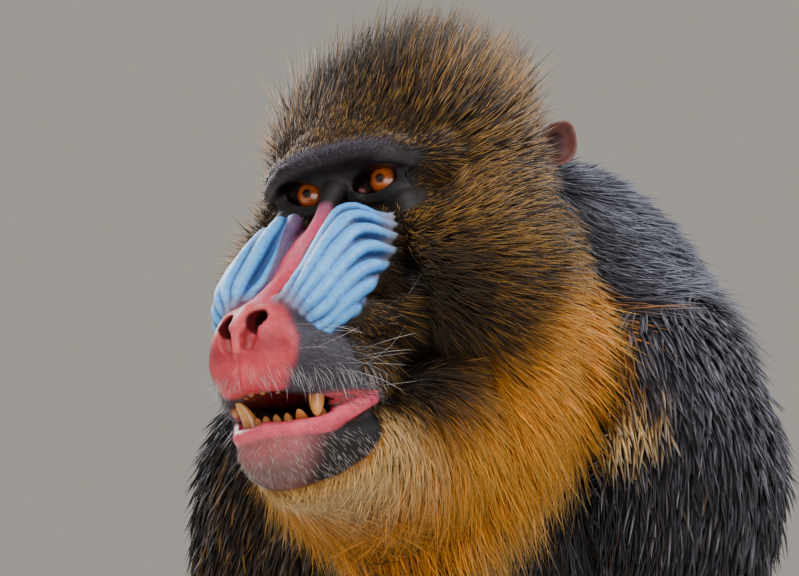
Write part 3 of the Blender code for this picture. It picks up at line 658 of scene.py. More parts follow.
def sown(points: np.ndarray, faces: np.ndarray, rows: np.ndarray, rng: np.random.Generator) -> np.ndarray:
    """A random place on each chosen face.

    Args:
        points: The corners of the mesh.
        faces: Its faces.
        rows: The number of the face for each place.
        rng: Draws where on the face it lies.

    Returns:
        The places.
    """
    u, v = rng.uniform(0, 1, (2, len(rows), 1))
    a, b, c, d = (points[faces[rows, k]] for k in range(4))
    return a * (1 - u) * (1 - v) + b * u * (1 - v) + c * u * v + d * (1 - u) * v


def add_node(
    tree: bpy.types.NodeTree, kind: str, settings: dict | None = None, **links: object
) -> bpy.types.Node:
    """Adds a shader node.

    Args:
        tree: The material's node tree.
        kind: The node's type name without the ShaderNode in front.
        settings: Values of the node's own properties.
        **links: What each input takes, by its name with _ for a space: a socket, or a value.

    Returns:
        The new node.
    """
    node = tree.nodes.new("ShaderNode" + kind)
    for name, value in (settings or {}).items():
        setattr(node, name, value)
    for name, value in links.items():
        socket = node.inputs[int(name[2:]) if name.startswith("in") else name.replace("_", " ")]
        if isinstance(value, bpy.types.NodeSocket):
            tree.links.new(value, socket)
        else:
            socket.default_value = value
    return node


def start_material(name: str, **inputs: object) -> tuple[bpy.types.Material, bpy.types.NodeTree]:
    """A new material with nodes.

    Args:
        name: What it is made of.
        **inputs: Values of the shader's inputs, by their names with _ for a space.

    Returns:
        The material and its node tree.
    """
    material = bpy.data.materials.new(name)
    material.use_nodes = True
    shader = material.node_tree.nodes[SHADER]
    for key, value in inputs.items():
        shader.inputs[key.replace("_", " ")].default_value = value
    return material, material.node_tree


def feed(tree: bpy.types.NodeTree, name: str, socket: bpy.types.NodeSocket) -> None:
    """Links a socket to an input of the shader."""
    tree.links.new(socket, tree.nodes[SHADER].inputs[name])


def shade_tint(tree: bpy.types.NodeTree, pattern: bpy.types.NodeSocket, dark: float, light: float) -> None:
    """Gives the shader the colour that is stored at the corners, darker and lighter by a pattern.

    Args:
        tree: The material's node tree.
        pattern: A value of about 0.3 to 0.7.
        dark: What the colour is multiplied by where the pattern is low.
        light: What it is multiplied by where the pattern is high.
    """
    tint = add_node(tree, "Attribute", {"attribute_name": "tint"}).outputs["Color"]
    shade = add_node(tree, "MapRange", Value=pattern, From_Min=0.3, From_Max=0.7, To_Min=dark, To_Max=light)
    tone = add_node(tree, "VectorMath", {"operation": "SCALE"}, in0=tint, Scale=shade.outputs[0])
    feed(tree, "Base Color", tone.outputs[0])


def put_mesh(name: str, points: np.ndarray, faces: np.ndarray) -> bpy.types.Object:
    """A new mesh object from arrays, shaded smooth.

    Args:
        name: The piece's name.
        points: Corners in world places.
        faces: Faces with an equal number of corners each.

    Returns:
        The object, linked to the scene.
    """
    mesh = bpy.data.meshes.new(name)
    sides = faces.shape[1]
    mesh.vertices.add(len(points))
    mesh.vertices.foreach_set("co", points.astype(np.float32).ravel())
    mesh.loops.add(faces.size)
    mesh.loops.foreach_set("vertex_index", faces.astype(np.int32).ravel())
    mesh.polygons.add(len(faces))
    mesh.polygons.foreach_set("loop_start", np.arange(0, faces.size, sides, dtype=np.int32))
    mesh.update(calc_edges=True)
    mesh.polygons.foreach_set("use_smooth", np.ones(len(faces), bool))
    obj = bpy.data.objects.new(name, mesh)
    bpy.context.scene.collection.objects.link(obj)
    log.info("%s: %d faces", name, len(faces))
    return obj


def read_points(obj: bpy.types.Object) -> np.ndarray:
    """The corners of a mesh as an array."""
    out = np.empty(3 * len(obj.data.vertices), np.float32)
    obj.data.vertices.foreach_get("co", out)
    return out.reshape(-1, 3).astype(float)


def merge_and_turn_out(obj: bpy.types.Object) -> None:
    """Merges doubled corners, such as a pole's, drops faces without area and turns the rest outwards."""
    bm = bmesh.new()
    bm.from_mesh(obj.data)
    bmesh.ops.remove_doubles(bm, verts=bm.verts, dist=1e-6)
    bmesh.ops.recalc_face_normals(bm, faces=bm.faces)
    bm.to_mesh(obj.data)
    bm.free()
    obj.data.polygons.foreach_set("use_smooth", np.ones(len(obj.data.polygons), bool))


def paint(obj: bpy.types.Object, name: str, colours: np.ndarray) -> None:
    """Stores linear colours, with a fourth value, at the corners of a mesh."""
    layer = obj.data.attributes.new(name, "FLOAT_COLOR", "POINT")
    layer.data.foreach_set("color", colours.astype(np.float32).ravel())


def normals_of(points: np.ndarray, faces: np.ndarray) -> np.ndarray:
    """The normal at each corner, from the diagonals of the faces round it."""
    across = across_faces(points, faces)
    total = np.zeros_like(points)
    for k in range(4):
        for axis in range(3):
            total[:, axis] += np.bincount(faces[:, k], across[:, axis], len(points))
    return unit(total)


class Ridges:
    """The swollen blue ridges beside the nose, which fan out from it and curve away under the eyes."""

    # Half width of a ridge as a share of the way to the next, and at most
    FULLNESS = 0.57
    WIDEST = 0.0050
    END_SINK = 0.0034
    CORE = np.array([0.0, 0.020, -0.080])
    # Half thickness of the filling under the first, the second and all further ridges
    FILLING = (0.0045, 0.0070, 0.0105)

    def __init__(self, side: Side) -> None:
        """Sets out the ridges of one side, from the bridge outwards.

        Four lines along the swelling give its face: the cubic through them at their shares is the
        line of a ridge at any share, and the way across and the way along give the face's normal.

        Args:
            side: Which side of the nose.
        """
        stops = np.array(Proportions.RIDGE_SHARES)
        lines = np.array([smooth_rows(rows, 5) for rows in Proportions.RIDGE_LINES])
        shares = np.linspace(0, 1, Proportions.RIDGES_PER_SIDE)
        weights = np.array([
            np.prod([(shares - b) / (a - b) for b in stops if b != a], axis=0) for a in stops
        ])
        self.lines = np.einsum("ks,knc->snc", weights, lines)
        across = np.gradient(self.lines, axis=0)
        self.normals = unit(np.cross(np.gradient(self.lines, axis=1), across))
        core = self.lines * (0, 1, 0) + self.CORE
        self.normals *= np.sign(np.sum(self.normals * (self.lines - core), axis=2))[:, :, None]
        length = np.linspace(0, 1, self.lines.shape[1])
        taper = np.interp(length, [0, 0.10, 0.86, 1], [0.55, 1, 1, 0.60])
        self.lines -= self.normals * (self.END_SINK * ramp(length, 0.84, 1.0))[None, :, None]
        apart = np.linalg.norm(across, axis=2)
        radii = np.minimum(apart * self.FULLNESS, self.WIDEST) * taper
        for array in (self.lines, self.normals):
            array[:, :, 0] *= side.value
        self.tubes = [Tube(np.column_stack([line, r, r])) for line, r in zip(self.lines, radii)]

    def filling(self) -> list[Tube]:
        """Thick tubes just under the ridges, which make the swelling that they lie on."""
        out = []
        deepest = np.interp(np.arange(len(self.lines)), [0, 1, 2], self.FILLING)
        for line, normal, depth in zip(self.lines, self.normals, deepest):
            deep = np.full((len(line), 1), depth)
            out.append(Tube(np.hstack([line - normal * (deep - 0.0002), deep, deep])[::2]))
        return out

    def read(self, points: np.ndarray) -> tuple[np.ndarray, np.ndarray, np.ndarray]:
        """Places points of the head's frame among the ridges.

        Args:
            points: Places, one to a row.

        Returns:
            The distance from the nearest ridge's face, the share along it from the nose, and how far
            the point lies to the side of its middle line, in half widths.
        """
        best = np.full(len(points), np.inf)
        along, aside = np.zeros((2, len(points)))
        for tube, normals in zip(self.tubes, self.normals):
            distance, share, _ = tube.measured(points)
            row = share * (len(tube.rows) - 1)
            outward = unit(read_rows(normals, row))
            gap = points - read_rows(tube.rows, row)
            flat = gap - outward * np.sum(gap * outward, axis=1)[:, None]
            nearer = distance < best
            best = np.where(nearer, distance, best)
            along = np.where(nearer, share, along)
            reach = np.interp(row, np.arange(len(tube.rows)), tube.rows[:, 3])
            aside = np.where(nearer, np.linalg.norm(flat, axis=1) / reach, aside)
        return best, along, aside


class Layers:
    """Colours laid over one another, each through its own mask."""

    def __init__(self, hex_colour: str, count: int, roughness: float) -> None:
        """Starts with one colour everywhere.

        Args:
            hex_colour: The ground colour.
            count: How many corners there are.
            roughness: Its roughness, which is kept as the fourth value.
        """
        self.values = np.tile(np.append(linear(hex_colour), roughness), (count, 1))

    def lay(self, hex_colour: str, mask: np.ndarray, roughness: float) -> None:
        """Lays a colour and a roughness over what is there, as far as the mask says."""
        new = np.append(linear(hex_colour), roughness)
        self.values += (new - self.values) * np.clip(mask, 0, 1)[:, None]


class Face:
    """The bare face: brow, lids, bridge, ridges, nose, lips and chin, in the head's frame."""

    STEP = 0.0012
    LOW = np.array([-0.074, -0.145, -0.205])
    HIGH = np.array([0.074, 0.036, 0.040])
    # The gap between the lids: x and z of its middle, its half width, its reach up and down, its tilt
    OPENING = (0.0262, -0.0028)
    OPENING_HALF_WIDTH = 0.0148
    UPPER_RISE = 0.0096
    LOWER_FALL = 0.0074
    OPENING_TILT = 12.0
    # How far back the eye's inner and outer corner lie
    CORNERS = (-0.0050, 0.0004)
    # Whether a fold or lid lies above the ball, its size in openings, half thickness, lead and blend
    FOLDS = (
        (False, 1.50, 0.0011, 0.0009, 0.0014),
        (False, 2.00, 0.0012, 0.0009, 0.0014),
        (False, 2.55, 0.0012, 0.0009, 0.0014),
        (True, 1.32, 0.0014, 0.0004, 0.0020),
        (False, 1.0, 0.0016, 0.0007, 0.0014),
        (True, 1.0, 0.0020, 0.0012, 0.0014),
    )
    # Middle and radii of the flesh round the eye
    SOCKET = ((0.0262, 0.0125, -0.0030), (0.0205, 0.0155, 0.0175))
    # Turns in degrees of the nostril's hole and of the dent below it
    HOLE_PITCH = -12
    DENT_LEAN = 18
    # The nostril's rim: its turns in degrees, reach across and up, depth at both ends, half thickness
    RIM_TURN = (165, -70)
    RIM_REACH = (0.0084, 0.0086)
    RIM_DEPTH = (-0.1095, -0.1165)
    RIM_THICK = 0.0028
    # Height and y of the coat's edge beside the face, from the top down
    EDGE = metres([
        (60, 2), (12, 2), (3, 2), (-8, 4), (-18, 1), (-30, -13), (-42, -21), (-56, -30), (-65, -42),
        (-80, -58), (-90, -68), (-103, -75), (-118, -74), (-130, -66), (-140, -55), (-152, -50),
        (-164, -52), (-176, -60), (-186, -72), (-194, -92), (-205, -130),
    ])
    # How far from the middle the purple valley beside the bridge reaches, by height
    VALLEY = metres([(-90, 0), (-78, 9.5), (-50, 12.2), (-32, 15.5), (-20, 17)])
    # Height and y of the rear edge of the red nose pad
    PAD_EDGE = metres([(-84, -101), (-95, -99), (-107, -96), (-120, -100), (-135, -105)])

    def __init__(self) -> None:
        """Sets out the ridges of both sides."""
        self.ridges = {side: Ridges(side) for side in Side}

    def lid(self, side: Side, upper: bool, grow: float, thick: float, ahead: float) -> Tube:
        """A lid's rim or a fold round it: an arc from the inner corner of the eye to the outer one.

        In the middle it follows the ball or the flesh of the socket, whichever lies further ahead, and
        towards the corners it runs to the two corners' own depths.

        Args:
            side: Which eye.
            upper: Whether it is the arc above the ball.
            grow: How many times larger than the opening the arc is.
            thick: Its half thickness.
            ahead: How far it stands ahead of the ball.

        Returns:
            The arc.
        """
        angle = np.linspace(0, np.pi, 17)
        dx = self.OPENING_HALF_WIDTH * (0.72 + 0.28 * grow) * np.cos(angle)
        dz = (self.UPPER_RISE if upper else -self.LOWER_FALL) * grow * np.sin(angle)
        c, s = math.cos(math.radians(self.OPENING_TILT)), math.sin(math.radians(self.OPENING_TILT))
        x = self.OPENING[0] + dx * c - dz * s
        z = self.OPENING[1] + dx * s + dz * c
        depths = []
        for centre, radii in ((Proportions.EYE_BALL, (Proportions.EYE_RADIUS,) * 3), self.SOCKET):
            flat = ((x - centre[0]) / radii[0]) ** 2 + ((z - centre[2]) / radii[2]) ** 2
            depths.append(centre[1] - radii[1] * np.sqrt(np.maximum(1 - flat, 0.04)))
        middle = np.minimum(*depths) if grow > 1.1 else depths[0]
        corner = np.where(dx < 0, *self.CORNERS)
        share = np.abs(np.cos(angle)) ** 3
        y = middle * (1 - share) + corner * share - ahead
        taper = thick * (0.6 + 0.4 * np.sin(angle))
        return Tube(np.column_stack([side.value * x, y, z, taper, taper]))

    def block(self) -> Block:
        """Melts the whole face together, then cuts the mouth, eyes and nostrils.

        Returns:
            The block of signed distances.
        """
        block = Block(self.LOW, self.HIGH, self.STEP)
        for centre, radii in Proportions.SKULL:
            block.add(Ball(centre, radii), 0.014)
        block.add(Tube.through(Proportions.FOREHEAD), 0.010)
        block.add(Tube.through(Proportions.MUZZLE), 0.012)
        for side in Side:
            block.add(Tube.through(Proportions.CHEEKBONE, side), 0.014)
            block.add(Tube.through(Proportions.LIP_FLESH, side), 0.010)
            block.add(Tube.through(Proportions.JAW_SIDE, side), 0.010)
            centre, radii = self.SOCKET
            block.add(Ball(side.mirror(centre), radii), 0.007)
        for centre, radii in Proportions.CHIN:
            block.add(Ball(centre, radii), 0.012)
        for side in Side:
            for tube in self.ridges[side].filling():
                block.add(tube, 0.004)
        block.add(Tube.through(Proportions.BROW), 0.005)
        block.add(Tube.through(Proportions.BRIDGE), 0.0040)
        for centre, radii in Proportions.NOSE:
            block.add(Ball(centre, radii), 0.006)
        for side in Side:
            block.add(Tube.through(Proportions.UPPER_LIP, side), 0.007)
        block.cut(Tube.through(Proportions.MOUTH), 0.002)
        for centre, radii in Proportions.MOUTH_FLESH:
            block.add(Ball(centre, radii), 0.003)
        for side in Side:
            for tube in self.ridges[side].tubes:
                block.add(tube, 0.0009)
            block.add(Tube.through(Proportions.LOWER_LIP, side), 0.003)
            self._eye(block, side)
            self._nostril(block, side)
        block.add(Tube.through(Proportions.COLUMELLA), 0.0020)
        block.cut(Tube.through(Proportions.PHILTRUM), 0.0016)
        return block

    def _eye(self, block: Block, side: Side) -> None:
        """Opens the socket, lays the lids and the folds round them, and clears the ball."""
        block.cut(self.opening(side), 0.0025)
        for upper, grow, thick, ahead, blend in self.FOLDS:
            block.add(self.lid(side, upper, grow, thick, ahead), blend)
        block.cut(self.opening(side), 0.0008)
        block.add(self.caruncle(side), 0.0010)
        clear = Proportions.EYE_RADIUS + 0.0001
        block.cut(Ball(side.mirror(Proportions.EYE_BALL), (clear,) * 3), 0.0002)

    def opening(self, side: Side) -> Ball:
        """The almond between the lids."""
        centre, radii = Proportions.EYE_OPENING
        return Ball(side.mirror(centre), radii, turn_about(1, -side.value * self.OPENING_TILT))

    @staticmethod
    def caruncle(side: Side) -> Ball:
        """The small pink swelling in the inner corner of the eye."""
        centre, radii = Proportions.CARUNCLE
        return Ball(side.mirror(centre), radii)

    @staticmethod
    def nostril(side: Side) -> list[Ball]:
        """The hollow of one nostril: a round hole, and a dent that runs down from it."""
        centre, radii = Proportions.NOSTRIL
        hole = Ball(side.mirror(centre), radii, turn_about(0, Face.HOLE_PITCH))
        centre, radii = Proportions.NOSTRIL_DENT
        dent = Ball(side.mirror(centre), radii, turn_about(1, side.value * Face.DENT_LEAN))
        return [hole, dent]

    def _nostril(self, block: Block, side: Side) -> None:
        """Lays the thick rim over a nostril and cuts the hole."""
        x, _, z = Proportions.NOSTRIL[0]
        count = 14
        angle = np.radians(np.linspace(*self.RIM_TURN, count))
        wide, high = self.RIM_REACH
        thick = np.full(count, self.RIM_THICK)
        rim = np.column_stack([
            side.value * (x + wide * np.cos(angle)),
            np.linspace(*self.RIM_DEPTH, count),
            z + high * np.sin(angle),
            thick,
            thick,
        ])
        block.add(Tube(rim), 0.0030)
        for ball, blend in zip(self.nostril(side), (0.0016, 0.0036)):
            block.cut(ball, blend)

    def bare_edge(self, points: np.ndarray) -> np.ndarray:
        """How far ahead of the coat's edge a place lies, in metres along y.

        Args:
            points: Places in the head's frame.

        Returns:
            The lead, positive on the bare face.
        """
        _, y, z = points.T
        heights, leads = np.array(self.EDGE)[::-1].T
        return np.interp(z, heights, leads) - y

    def tint(self, points: np.ndarray, normals: np.ndarray) -> np.ndarray:
        """The face's colours and roughness by place.

        Args:
            points: Places in the head's frame.
            normals: The surface's normals there, which lay a painted sheen on the brow's upward face.

        Returns:
            Linear red, green, blue and roughness, one row to a place.
        """
        x, y, z = points.T
        side = np.abs(x)
        layers = Layers("161214", len(points), 0.54)
        muzzle = ramp(y, -0.030, -0.062) * ramp(z, -0.150, -0.135)
        layers.lay("3C3642", muzzle, 0.52)
        flank = ramp(y, -0.062, -0.045) * ramp(side, 0.030, 0.044) * ramp(z, -0.050, -0.070)
        layers.lay("1A1518", flank * ramp(z, -0.135, -0.115), 0.60)
        around_eye = bump_of(z, -0.006, 0.020) * bump_of(side, 0.029, 0.026) * ramp(y, 0.004, -0.002)
        layers.lay("110E10", around_eye, 0.46)
        brow = Tube.through(Proportions.BROW).distance(points)
        layers.lay("1D161B", ramp(brow, 0.0030, 0.0008), 0.46)
        # Lighter purple where the brow faces up: a painted sheen from the light above
        layers.lay("433A46", ramp(brow, 0.0030, 0.0008) * ramp(normals[:, 2], 0.35, 0.90), 0.50)
        self._lay_nose(layers, points)
        self._lay_ridges(layers, points)
        self._lay_mouth(layers, points)
        opening = np.min([self.opening(sign).distance(points) for sign in Side], axis=0)
        caruncle = np.min([self.caruncle(sign).distance(points) for sign in Side], axis=0)
        layers.lay("140D10", ramp(opening, 0.0012, 0.0002), 0.16)
        layers.lay("7A4644", ramp(caruncle, 0.0010, 0.0002), 0.16)
        return layers.values

    def _lay_nose(self, layers: Layers, points: np.ndarray) -> None:
        """The red of the bridge, nose pad and upper lip, with painted shade in the nostrils and the dents
        below them and a painted highlight on the pad's top.
        """
        x, y, z = points.T
        side = np.abs(x)
        bridge, along, _ = Tube.through(Proportions.BRIDGE).measured(points)
        layers.lay("5C2E44", ramp(bridge, 0.0105, 0.0060) * ramp(along, 0.16, 0.30), 0.45)
        half = np.interp(along, [0.2, 0.6, 0.9, 1.0], [0.0056, 0.0068, 0.0084, 0.0110])
        on_bridge = ramp(bridge, 0.0045, 0.0030) * ramp(side - half, 0.0008, -0.0008)
        layers.lay("944A6C", on_bridge * ramp(along, 0.14, 0.26), 0.42)
        layers.lay("D04A70", on_bridge * ramp(along, 0.24, 0.44), 0.40)
        layers.lay("D4465C", on_bridge * ramp(along, 0.44, 0.75), 0.38)
        edge = np.interp(z, *np.array(self.PAD_EDGE)[::-1].T)
        pad = ramp(y + 0.45 * side - edge, 0.0045, -0.0055)
        pad = pad * ramp(z, -0.146, -0.140) * ramp(z, -0.080, -0.086)
        layers.lay("C8424E", pad, 0.46)
        layers.lay("A42C3C", pad * bump_of(z, -0.112, 0.012) * ramp(y, -0.112, -0.120), 0.42)
        # A lighter red band across the top of the pad, where it faces up: a painted highlight
        layers.lay("CC4A52", pad * bump_of(z, -0.090, 0.010), 0.44)
        hollows = [[ball.distance(points) for ball in self.nostril(sign)] for sign in Side]
        hole, dent = np.min(hollows, axis=0)
        columella = Tube.through(Proportions.COLUMELLA).distance(points)
        # Darker red in the dent below each nostril: painted shade in the hollow
        layers.lay("A0363E", ramp(dent, 0.0020, 0.0002), 0.34)
        layers.lay("DC5C62", ramp(columella, 0.0014, 0.0002) * ramp(y, -0.112, -0.118), 0.30)
        # Dark red on the nostril's walls and near-black deep inside it: painted shade in the hole
        layers.lay("6E2024", ramp(hole, 0.0020, 0.0004), 0.32)
        layers.lay("140505", ramp(hole, 0.0006, -0.0002) * ramp(y, -0.1160, -0.1130), 0.50)

    def _lay_ridges(self, layers: Layers, points: np.ndarray) -> None:
        """The sky blue ridges, their dark grooves, and the earthy ends."""
        for side in Side:
            near = points[:, 0] * side.value > 0.004
            spots = points[near]
            distance, along, aside = self.ridges[side].read(spots)
            inside = ramp(distance, 0.0026, 0.0012)[:, None]
            crest = 1 - ramp(aside, 0.62, 0.95)
            sub = Layers("27497E", len(spots), 0.40)
            sub.lay("52A8FA", crest, 0.36)
            sub.lay("78C4FF", crest * (1 - ramp(aside, 0.05, 0.55)) * ramp(along, 1.0, 0.30), 0.33)
            sub.lay("8E8482", ramp(along, 0.88, 1.0) * 0.8, 0.55)
            sub.lay("7A6E8C", ramp(along, 0.13, 0.0) * 0.8, 0.46)
            beside = np.abs(spots[:, 0]) - np.interp(spots[:, 2], *zip(*self.VALLEY))
            sub.lay("5C2E44", ramp(beside, 0.0010, -0.0010) * 0.9, 0.46)
            layers.values[near] += (sub.values - layers.values[near]) * inside

    @staticmethod
    def _lay_mouth(layers: Layers, points: np.ndarray) -> None:
        """The lips, chin and the inside of the mouth, which is darkened with painted shade."""
        x, y, z = points.T
        side = np.abs(x)
        upper = np.minimum(*(Tube.through(Proportions.UPPER_LIP, s).distance(points) for s in Side))
        lower = np.minimum(*(Tube.through(Proportions.LOWER_LIP, s).distance(points) for s in Side))
        below = ramp(z, -0.150, -0.156)
        front = ramp(y + 0.9 * side - 0.5 * (z + 0.155), -0.048, -0.084)
        layers.lay("151214", below * ramp(y, 0.03, 0.0), 0.60)
        layers.lay("9C565A", below * front, 0.42)
        layers.lay("6E5250", below * front * ramp(z, -0.170, -0.184), 0.50)
        rim = ramp(upper, 0.0016, 0.0004) * ramp(z, -0.1370, -0.1410) * ramp(y, -0.100, -0.085)
        layers.lay("C03C46", rim, 0.30)
        layers.lay("E0566E", ramp(lower, 0.0018, 0.0004) * ramp(z, -0.1650, -0.1625), 0.22)
        mouth = Tube.through(Proportions.MOUTH).distance(points)
        flesh = np.min([Ball(*ball).distance(points) for ball in Proportions.MOUTH_FLESH], axis=0)
        deep = ramp(y, -0.122, -0.108) * ramp(side, 0.0445, 0.040)
        inside = np.maximum(ramp(mouth, 0.0012, 0.0), ramp(flesh, 0.0012, 0.0)) * deep
        lips = np.minimum(np.abs(upper), np.abs(lower))
        # The inside of the mouth: the red of the flesh, darkened as painted shade, and near-black painted
        # shade further back
        layers.lay("4A1014", inside * ramp(lips, 0.0006, 0.0020), 0.22)
        layers.lay("230808", inside * ramp(lips, 0.0006, 0.0020) * ramp(y, -0.085, -0.060), 0.40)


@dataclass(frozen=True)
class Chain:
    """A stretch of the body that the coat runs along, with its place on the coat's bake map."""

    name: str
    tube: Tube
    group: str
    low: float = 0.0
    high: float = 1.0


class Body:
    """The trunk, neck, tail and limbs under the coat, in world places."""

    STEP = 0.0052
    PAW_STEP = 0.0022
    WAY_BLEND = 0.008
    # Heights of a digit's root, its knuckle and its last joint
    JOINT_HEIGHTS = (0.0140, 0.0165, 0.0115)

    def __init__(self, head: HeadFrame) -> None:
        """Sets out every stretch of the body from the head's place.

        Args:
            head: The head's frame.
        """
        self.head = head
        self.shift = head.eyes - Proportions.EYE_PLACE
        self.chains = [
            self._chain("trunk", Proportions.TRUNK, "trunk"),
            self._chain("neck", Proportions.NECK, "neck"),
            self._chain("tail", Proportions.TAIL, "tail"),
        ]
        limbs = (
            ("upper_arm", Proportions.UPPER_ARM, "arm", 0.0, 0.45),
            ("forearm", Proportions.FOREARM, "arm", 0.45, 0.85),
            ("hand", Proportions.PALM, "arm", 0.85, 1.0),
            ("thigh", Proportions.THIGH, "leg", 0.0, 0.45),
            ("shin", Proportions.SHIN, "leg", 0.45, 0.80),
            ("foot", Proportions.SOLE, "leg", 0.80, 1.0),
        )
        for side in Side:
            for name, rows, group, low, high in limbs:
                full = f"{name}_{side.letter}"
                self.chains.append(self._chain(full, rows, f"{group}_{side.letter}", low, high, side))

    def _chain(
        self, name: str, rows: list, group: str, low: float = 0.0, high: float = 1.0, side: Side = Side.LEFT
    ) -> Chain:
        """One stretch, smooth and in world places."""
        return Chain(name, Tube.through(rows, side).moved(self.shift), group, low, high)

    def digits(self, side: Side, digits: list[tuple]) -> list[Tube]:
        """The fingers or toes of one side: root, a raised knuckle and the tip on the ground.

        Args:
            side: Which side.
            digits: Root and tip of each, with their radii.

        Returns:
            A tube for each digit.
        """
        out = []
        for x0, y0, x1, y1, r0, r1 in digits:
            root, knuckle, last = self.JOINT_HEIGHTS
            rows = [
                (x0, y0, root, r0, r0),
                ((x0 + x1) / 2, (y0 + y1) / 2, knuckle, r0 * 0.98, r0),
                (x0 + 0.8 * (x1 - x0), y0 + 0.8 * (y1 - y0), last, r1 * 1.04, r1),
                (x1, y1, r1 * 0.92, r1, r1 * 0.9),
            ]
            out.append(Tube.through(rows, side).moved(self.shift))
        return out

    def trunk_block(self) -> Block:
        """Melts trunk, neck, skull and limbs together.

        Returns:
            The block of signed distances.
        """
        low, high = (np.array(c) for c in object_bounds())
        block = Block(low - 0.01, high + 0.01, self.STEP)
        for chain in self.chains:
            if not chain.name.startswith(("hand", "foot")):
                melts = chain.name.startswith(("upper", "thigh", "neck"))
                block.add(chain.tube, 0.030 if melts else 0.008)
        for centre, radii in Proportions.SKULL:
            shrunk = tuple(r - 0.0015 for r in radii)
            block.add(OnHead(Ball(centre, shrunk), self.head), 0.022)
        for side in Side:
            block.add(OnHead(Tube.through(Proportions.RUFF, side), self.head), 0.030)
        for side in Side:
            centre, radii = Proportions.EYE_HOLLOW
            block.cut(OnHead(Ball(side.mirror(centre), radii), self.head), 0.002)
        return block

    def paw_block(self, side: Side, name: str, digits: list[tuple]) -> Block:
        """Melts one hand or foot together, flat underneath where it rests.

        Args:
            side: Which side.
            name: The stretch that it grows from.
            digits: Its fingers or toes.

        Returns:
            The block of signed distances.
        """
        palm = next(c for c in self.chains if c.name == f"{name}_{side.letter}").tube
        fingers = self.digits(side, digits)
        boxes = [t.box() for t in [palm, *fingers]]
        low = np.min([b[0] for b in boxes], axis=0) - 0.006
        high = np.max([b[1] for b in boxes], axis=0) + 0.006
        low[2] = 0.0
        block = Block(low, high, self.PAW_STEP)
        block.add(palm, 0.006)
        for tube in fingers:
            block.add(tube, 0.0035)
        return block

    def nearest(self, points: np.ndarray) -> tuple[np.ndarray, np.ndarray, np.ndarray, np.ndarray]:
        """Finds the stretch of body under each point.

        Args:
            points: World places.

        Returns:
            The stretch's number, with the head as the last; the share along it; the angle round it;
            and the way that the stretches run, blended where two are about as near.
        """
        count = len(self.chains)
        distance = np.full((count + 1, len(points)), FAR)
        along, angle = np.zeros((2, count + 1, len(points)))
        ways = np.zeros((count + 1, len(points), 3))
        for k, chain in enumerate(self.chains):
            distance[k], along[k], angle[k] = chain.tube.measured(points)
            lines = np.gradient(chain.tube.rows[:, :3], axis=0)
            row = along[k] * (len(lines) - 1)
            ways[k] = unit(read_rows(lines, row))
        skull = [OnHead(Ball(c, r), self.head).distance(points) for c, r in Proportions.SKULL]
        distance[count] = np.min(skull, axis=0)
        weight = np.exp(-np.maximum(distance - distance.min(0), 0) / self.WAY_BLEND)
        blended = np.einsum("kn,knc->nc", weight, ways)
        number = distance.argmin(0)
        picked = np.arange(len(points))
        return number, along[number, picked], angle[number, picked], blended

    def is_head(self, number: np.ndarray) -> np.ndarray:
        """Whether the nearest stretch is the head."""
        return number == len(self.chains)


class Skin:
    """The one skin of the whole animal, bare on the face, palms, soles and rump."""

    def __init__(self, head: HeadFrame, body: Body, face: Face, coat: "Coat") -> None:
        """Keeps what the skin is made from.

        Args:
            head: The head's frame.
            body: The stretches of the body.
            face: The bare face.
            coat: The coat, whose markings the skin shares.
        """
        self.head, self.body, self.face, self.coat = head, body, face, coat
        self.shells: list[Shell] = []

    def build(self) -> bpy.types.Object:
        """Makes the skin and paints it.

        Returns:
            The skin's object.
        """
        face_points, face_faces = self.face.block().surface()
        face_points = relaxed(face_points, face_faces, 2)
        blocks = [self.body.trunk_block()]
        for side in Side:
            blocks.append(self.body.paw_block(side, "hand", Proportions.FINGERS))
            blocks.append(self.body.paw_block(side, "foot", Proportions.TOES))
        parts = [(self.head.outward(face_points), face_faces)]
        for block in blocks:
            points, faces = block.surface()
            points = relaxed(points, faces, 2)
            points[:, 2] = np.maximum(points[:, 2], 0.0)
            parts.append((points, faces))
        colours = []
        for k, (points, faces) in enumerate(parts):
            normals = normals_of(points, faces)
            self.shells.append((points, faces, normals))
            tint = self.coat.skin_tint(points)
            if k == 0:
                own = self.face.tint(self.head.inward(points), normals @ self.head.turn)
                tint += (own - tint) * self.coat.bareness(points, normals)[:, None]
            colours.append(tint)
        points, faces = joined(parts)
        obj = put_mesh("skin", points, faces)
        paint(obj, "tint", np.vstack(colours))
        obj.data.materials.append(self.material())
        return obj

    @staticmethod
    def material() -> bpy.types.Material:
        """Living skin, bare and a little oily: mottled, finely lined, with a soft, scattered sheen.

        Returns:
            The material, which reads colour and roughness from the corners.
        """
        material, tree = start_material(
            "living_skin",
            Subsurface_Weight=0.12,
            Subsurface_Radius=(0.004, 0.0016, 0.0010),
            Subsurface_Scale=1.0,
            IOR=1.42,
        )
        place = add_node(tree, "TexCoord").outputs["Object"]
        # Blotches 4 mm across, pores 0.8 mm apart and fine lines 1.1 mm apart
        blotch = add_node(tree, "TexNoise", Vector=place, Scale=250.0, Detail=4.0, Roughness=0.6)
        pores = add_node(tree, "TexVoronoi", {"feature": "DISTANCE_TO_EDGE"}, Vector=place, Scale=1250.0)
        lines = add_node(tree, "TexNoise", Vector=place, Scale=900.0, Detail=3.0, Roughness=0.65)
        shade_tint(tree, blotch.outputs["Fac"], 0.80, 1.15)
        feed(tree, "Roughness", add_node(tree, "Attribute", {"attribute_name": "tint"}).outputs["Alpha"])
        low = add_node(tree, "Bump", Strength=0.50, Distance=0.0008, Height=lines.outputs["Fac"]).outputs[0]
        pits = pores.outputs["Distance"]
        fine = add_node(tree, "Bump", Strength=0.25, Distance=0.0003, Height=pits, Normal=low)
        feed(tree, "Normal", fine.outputs[0])
        return material


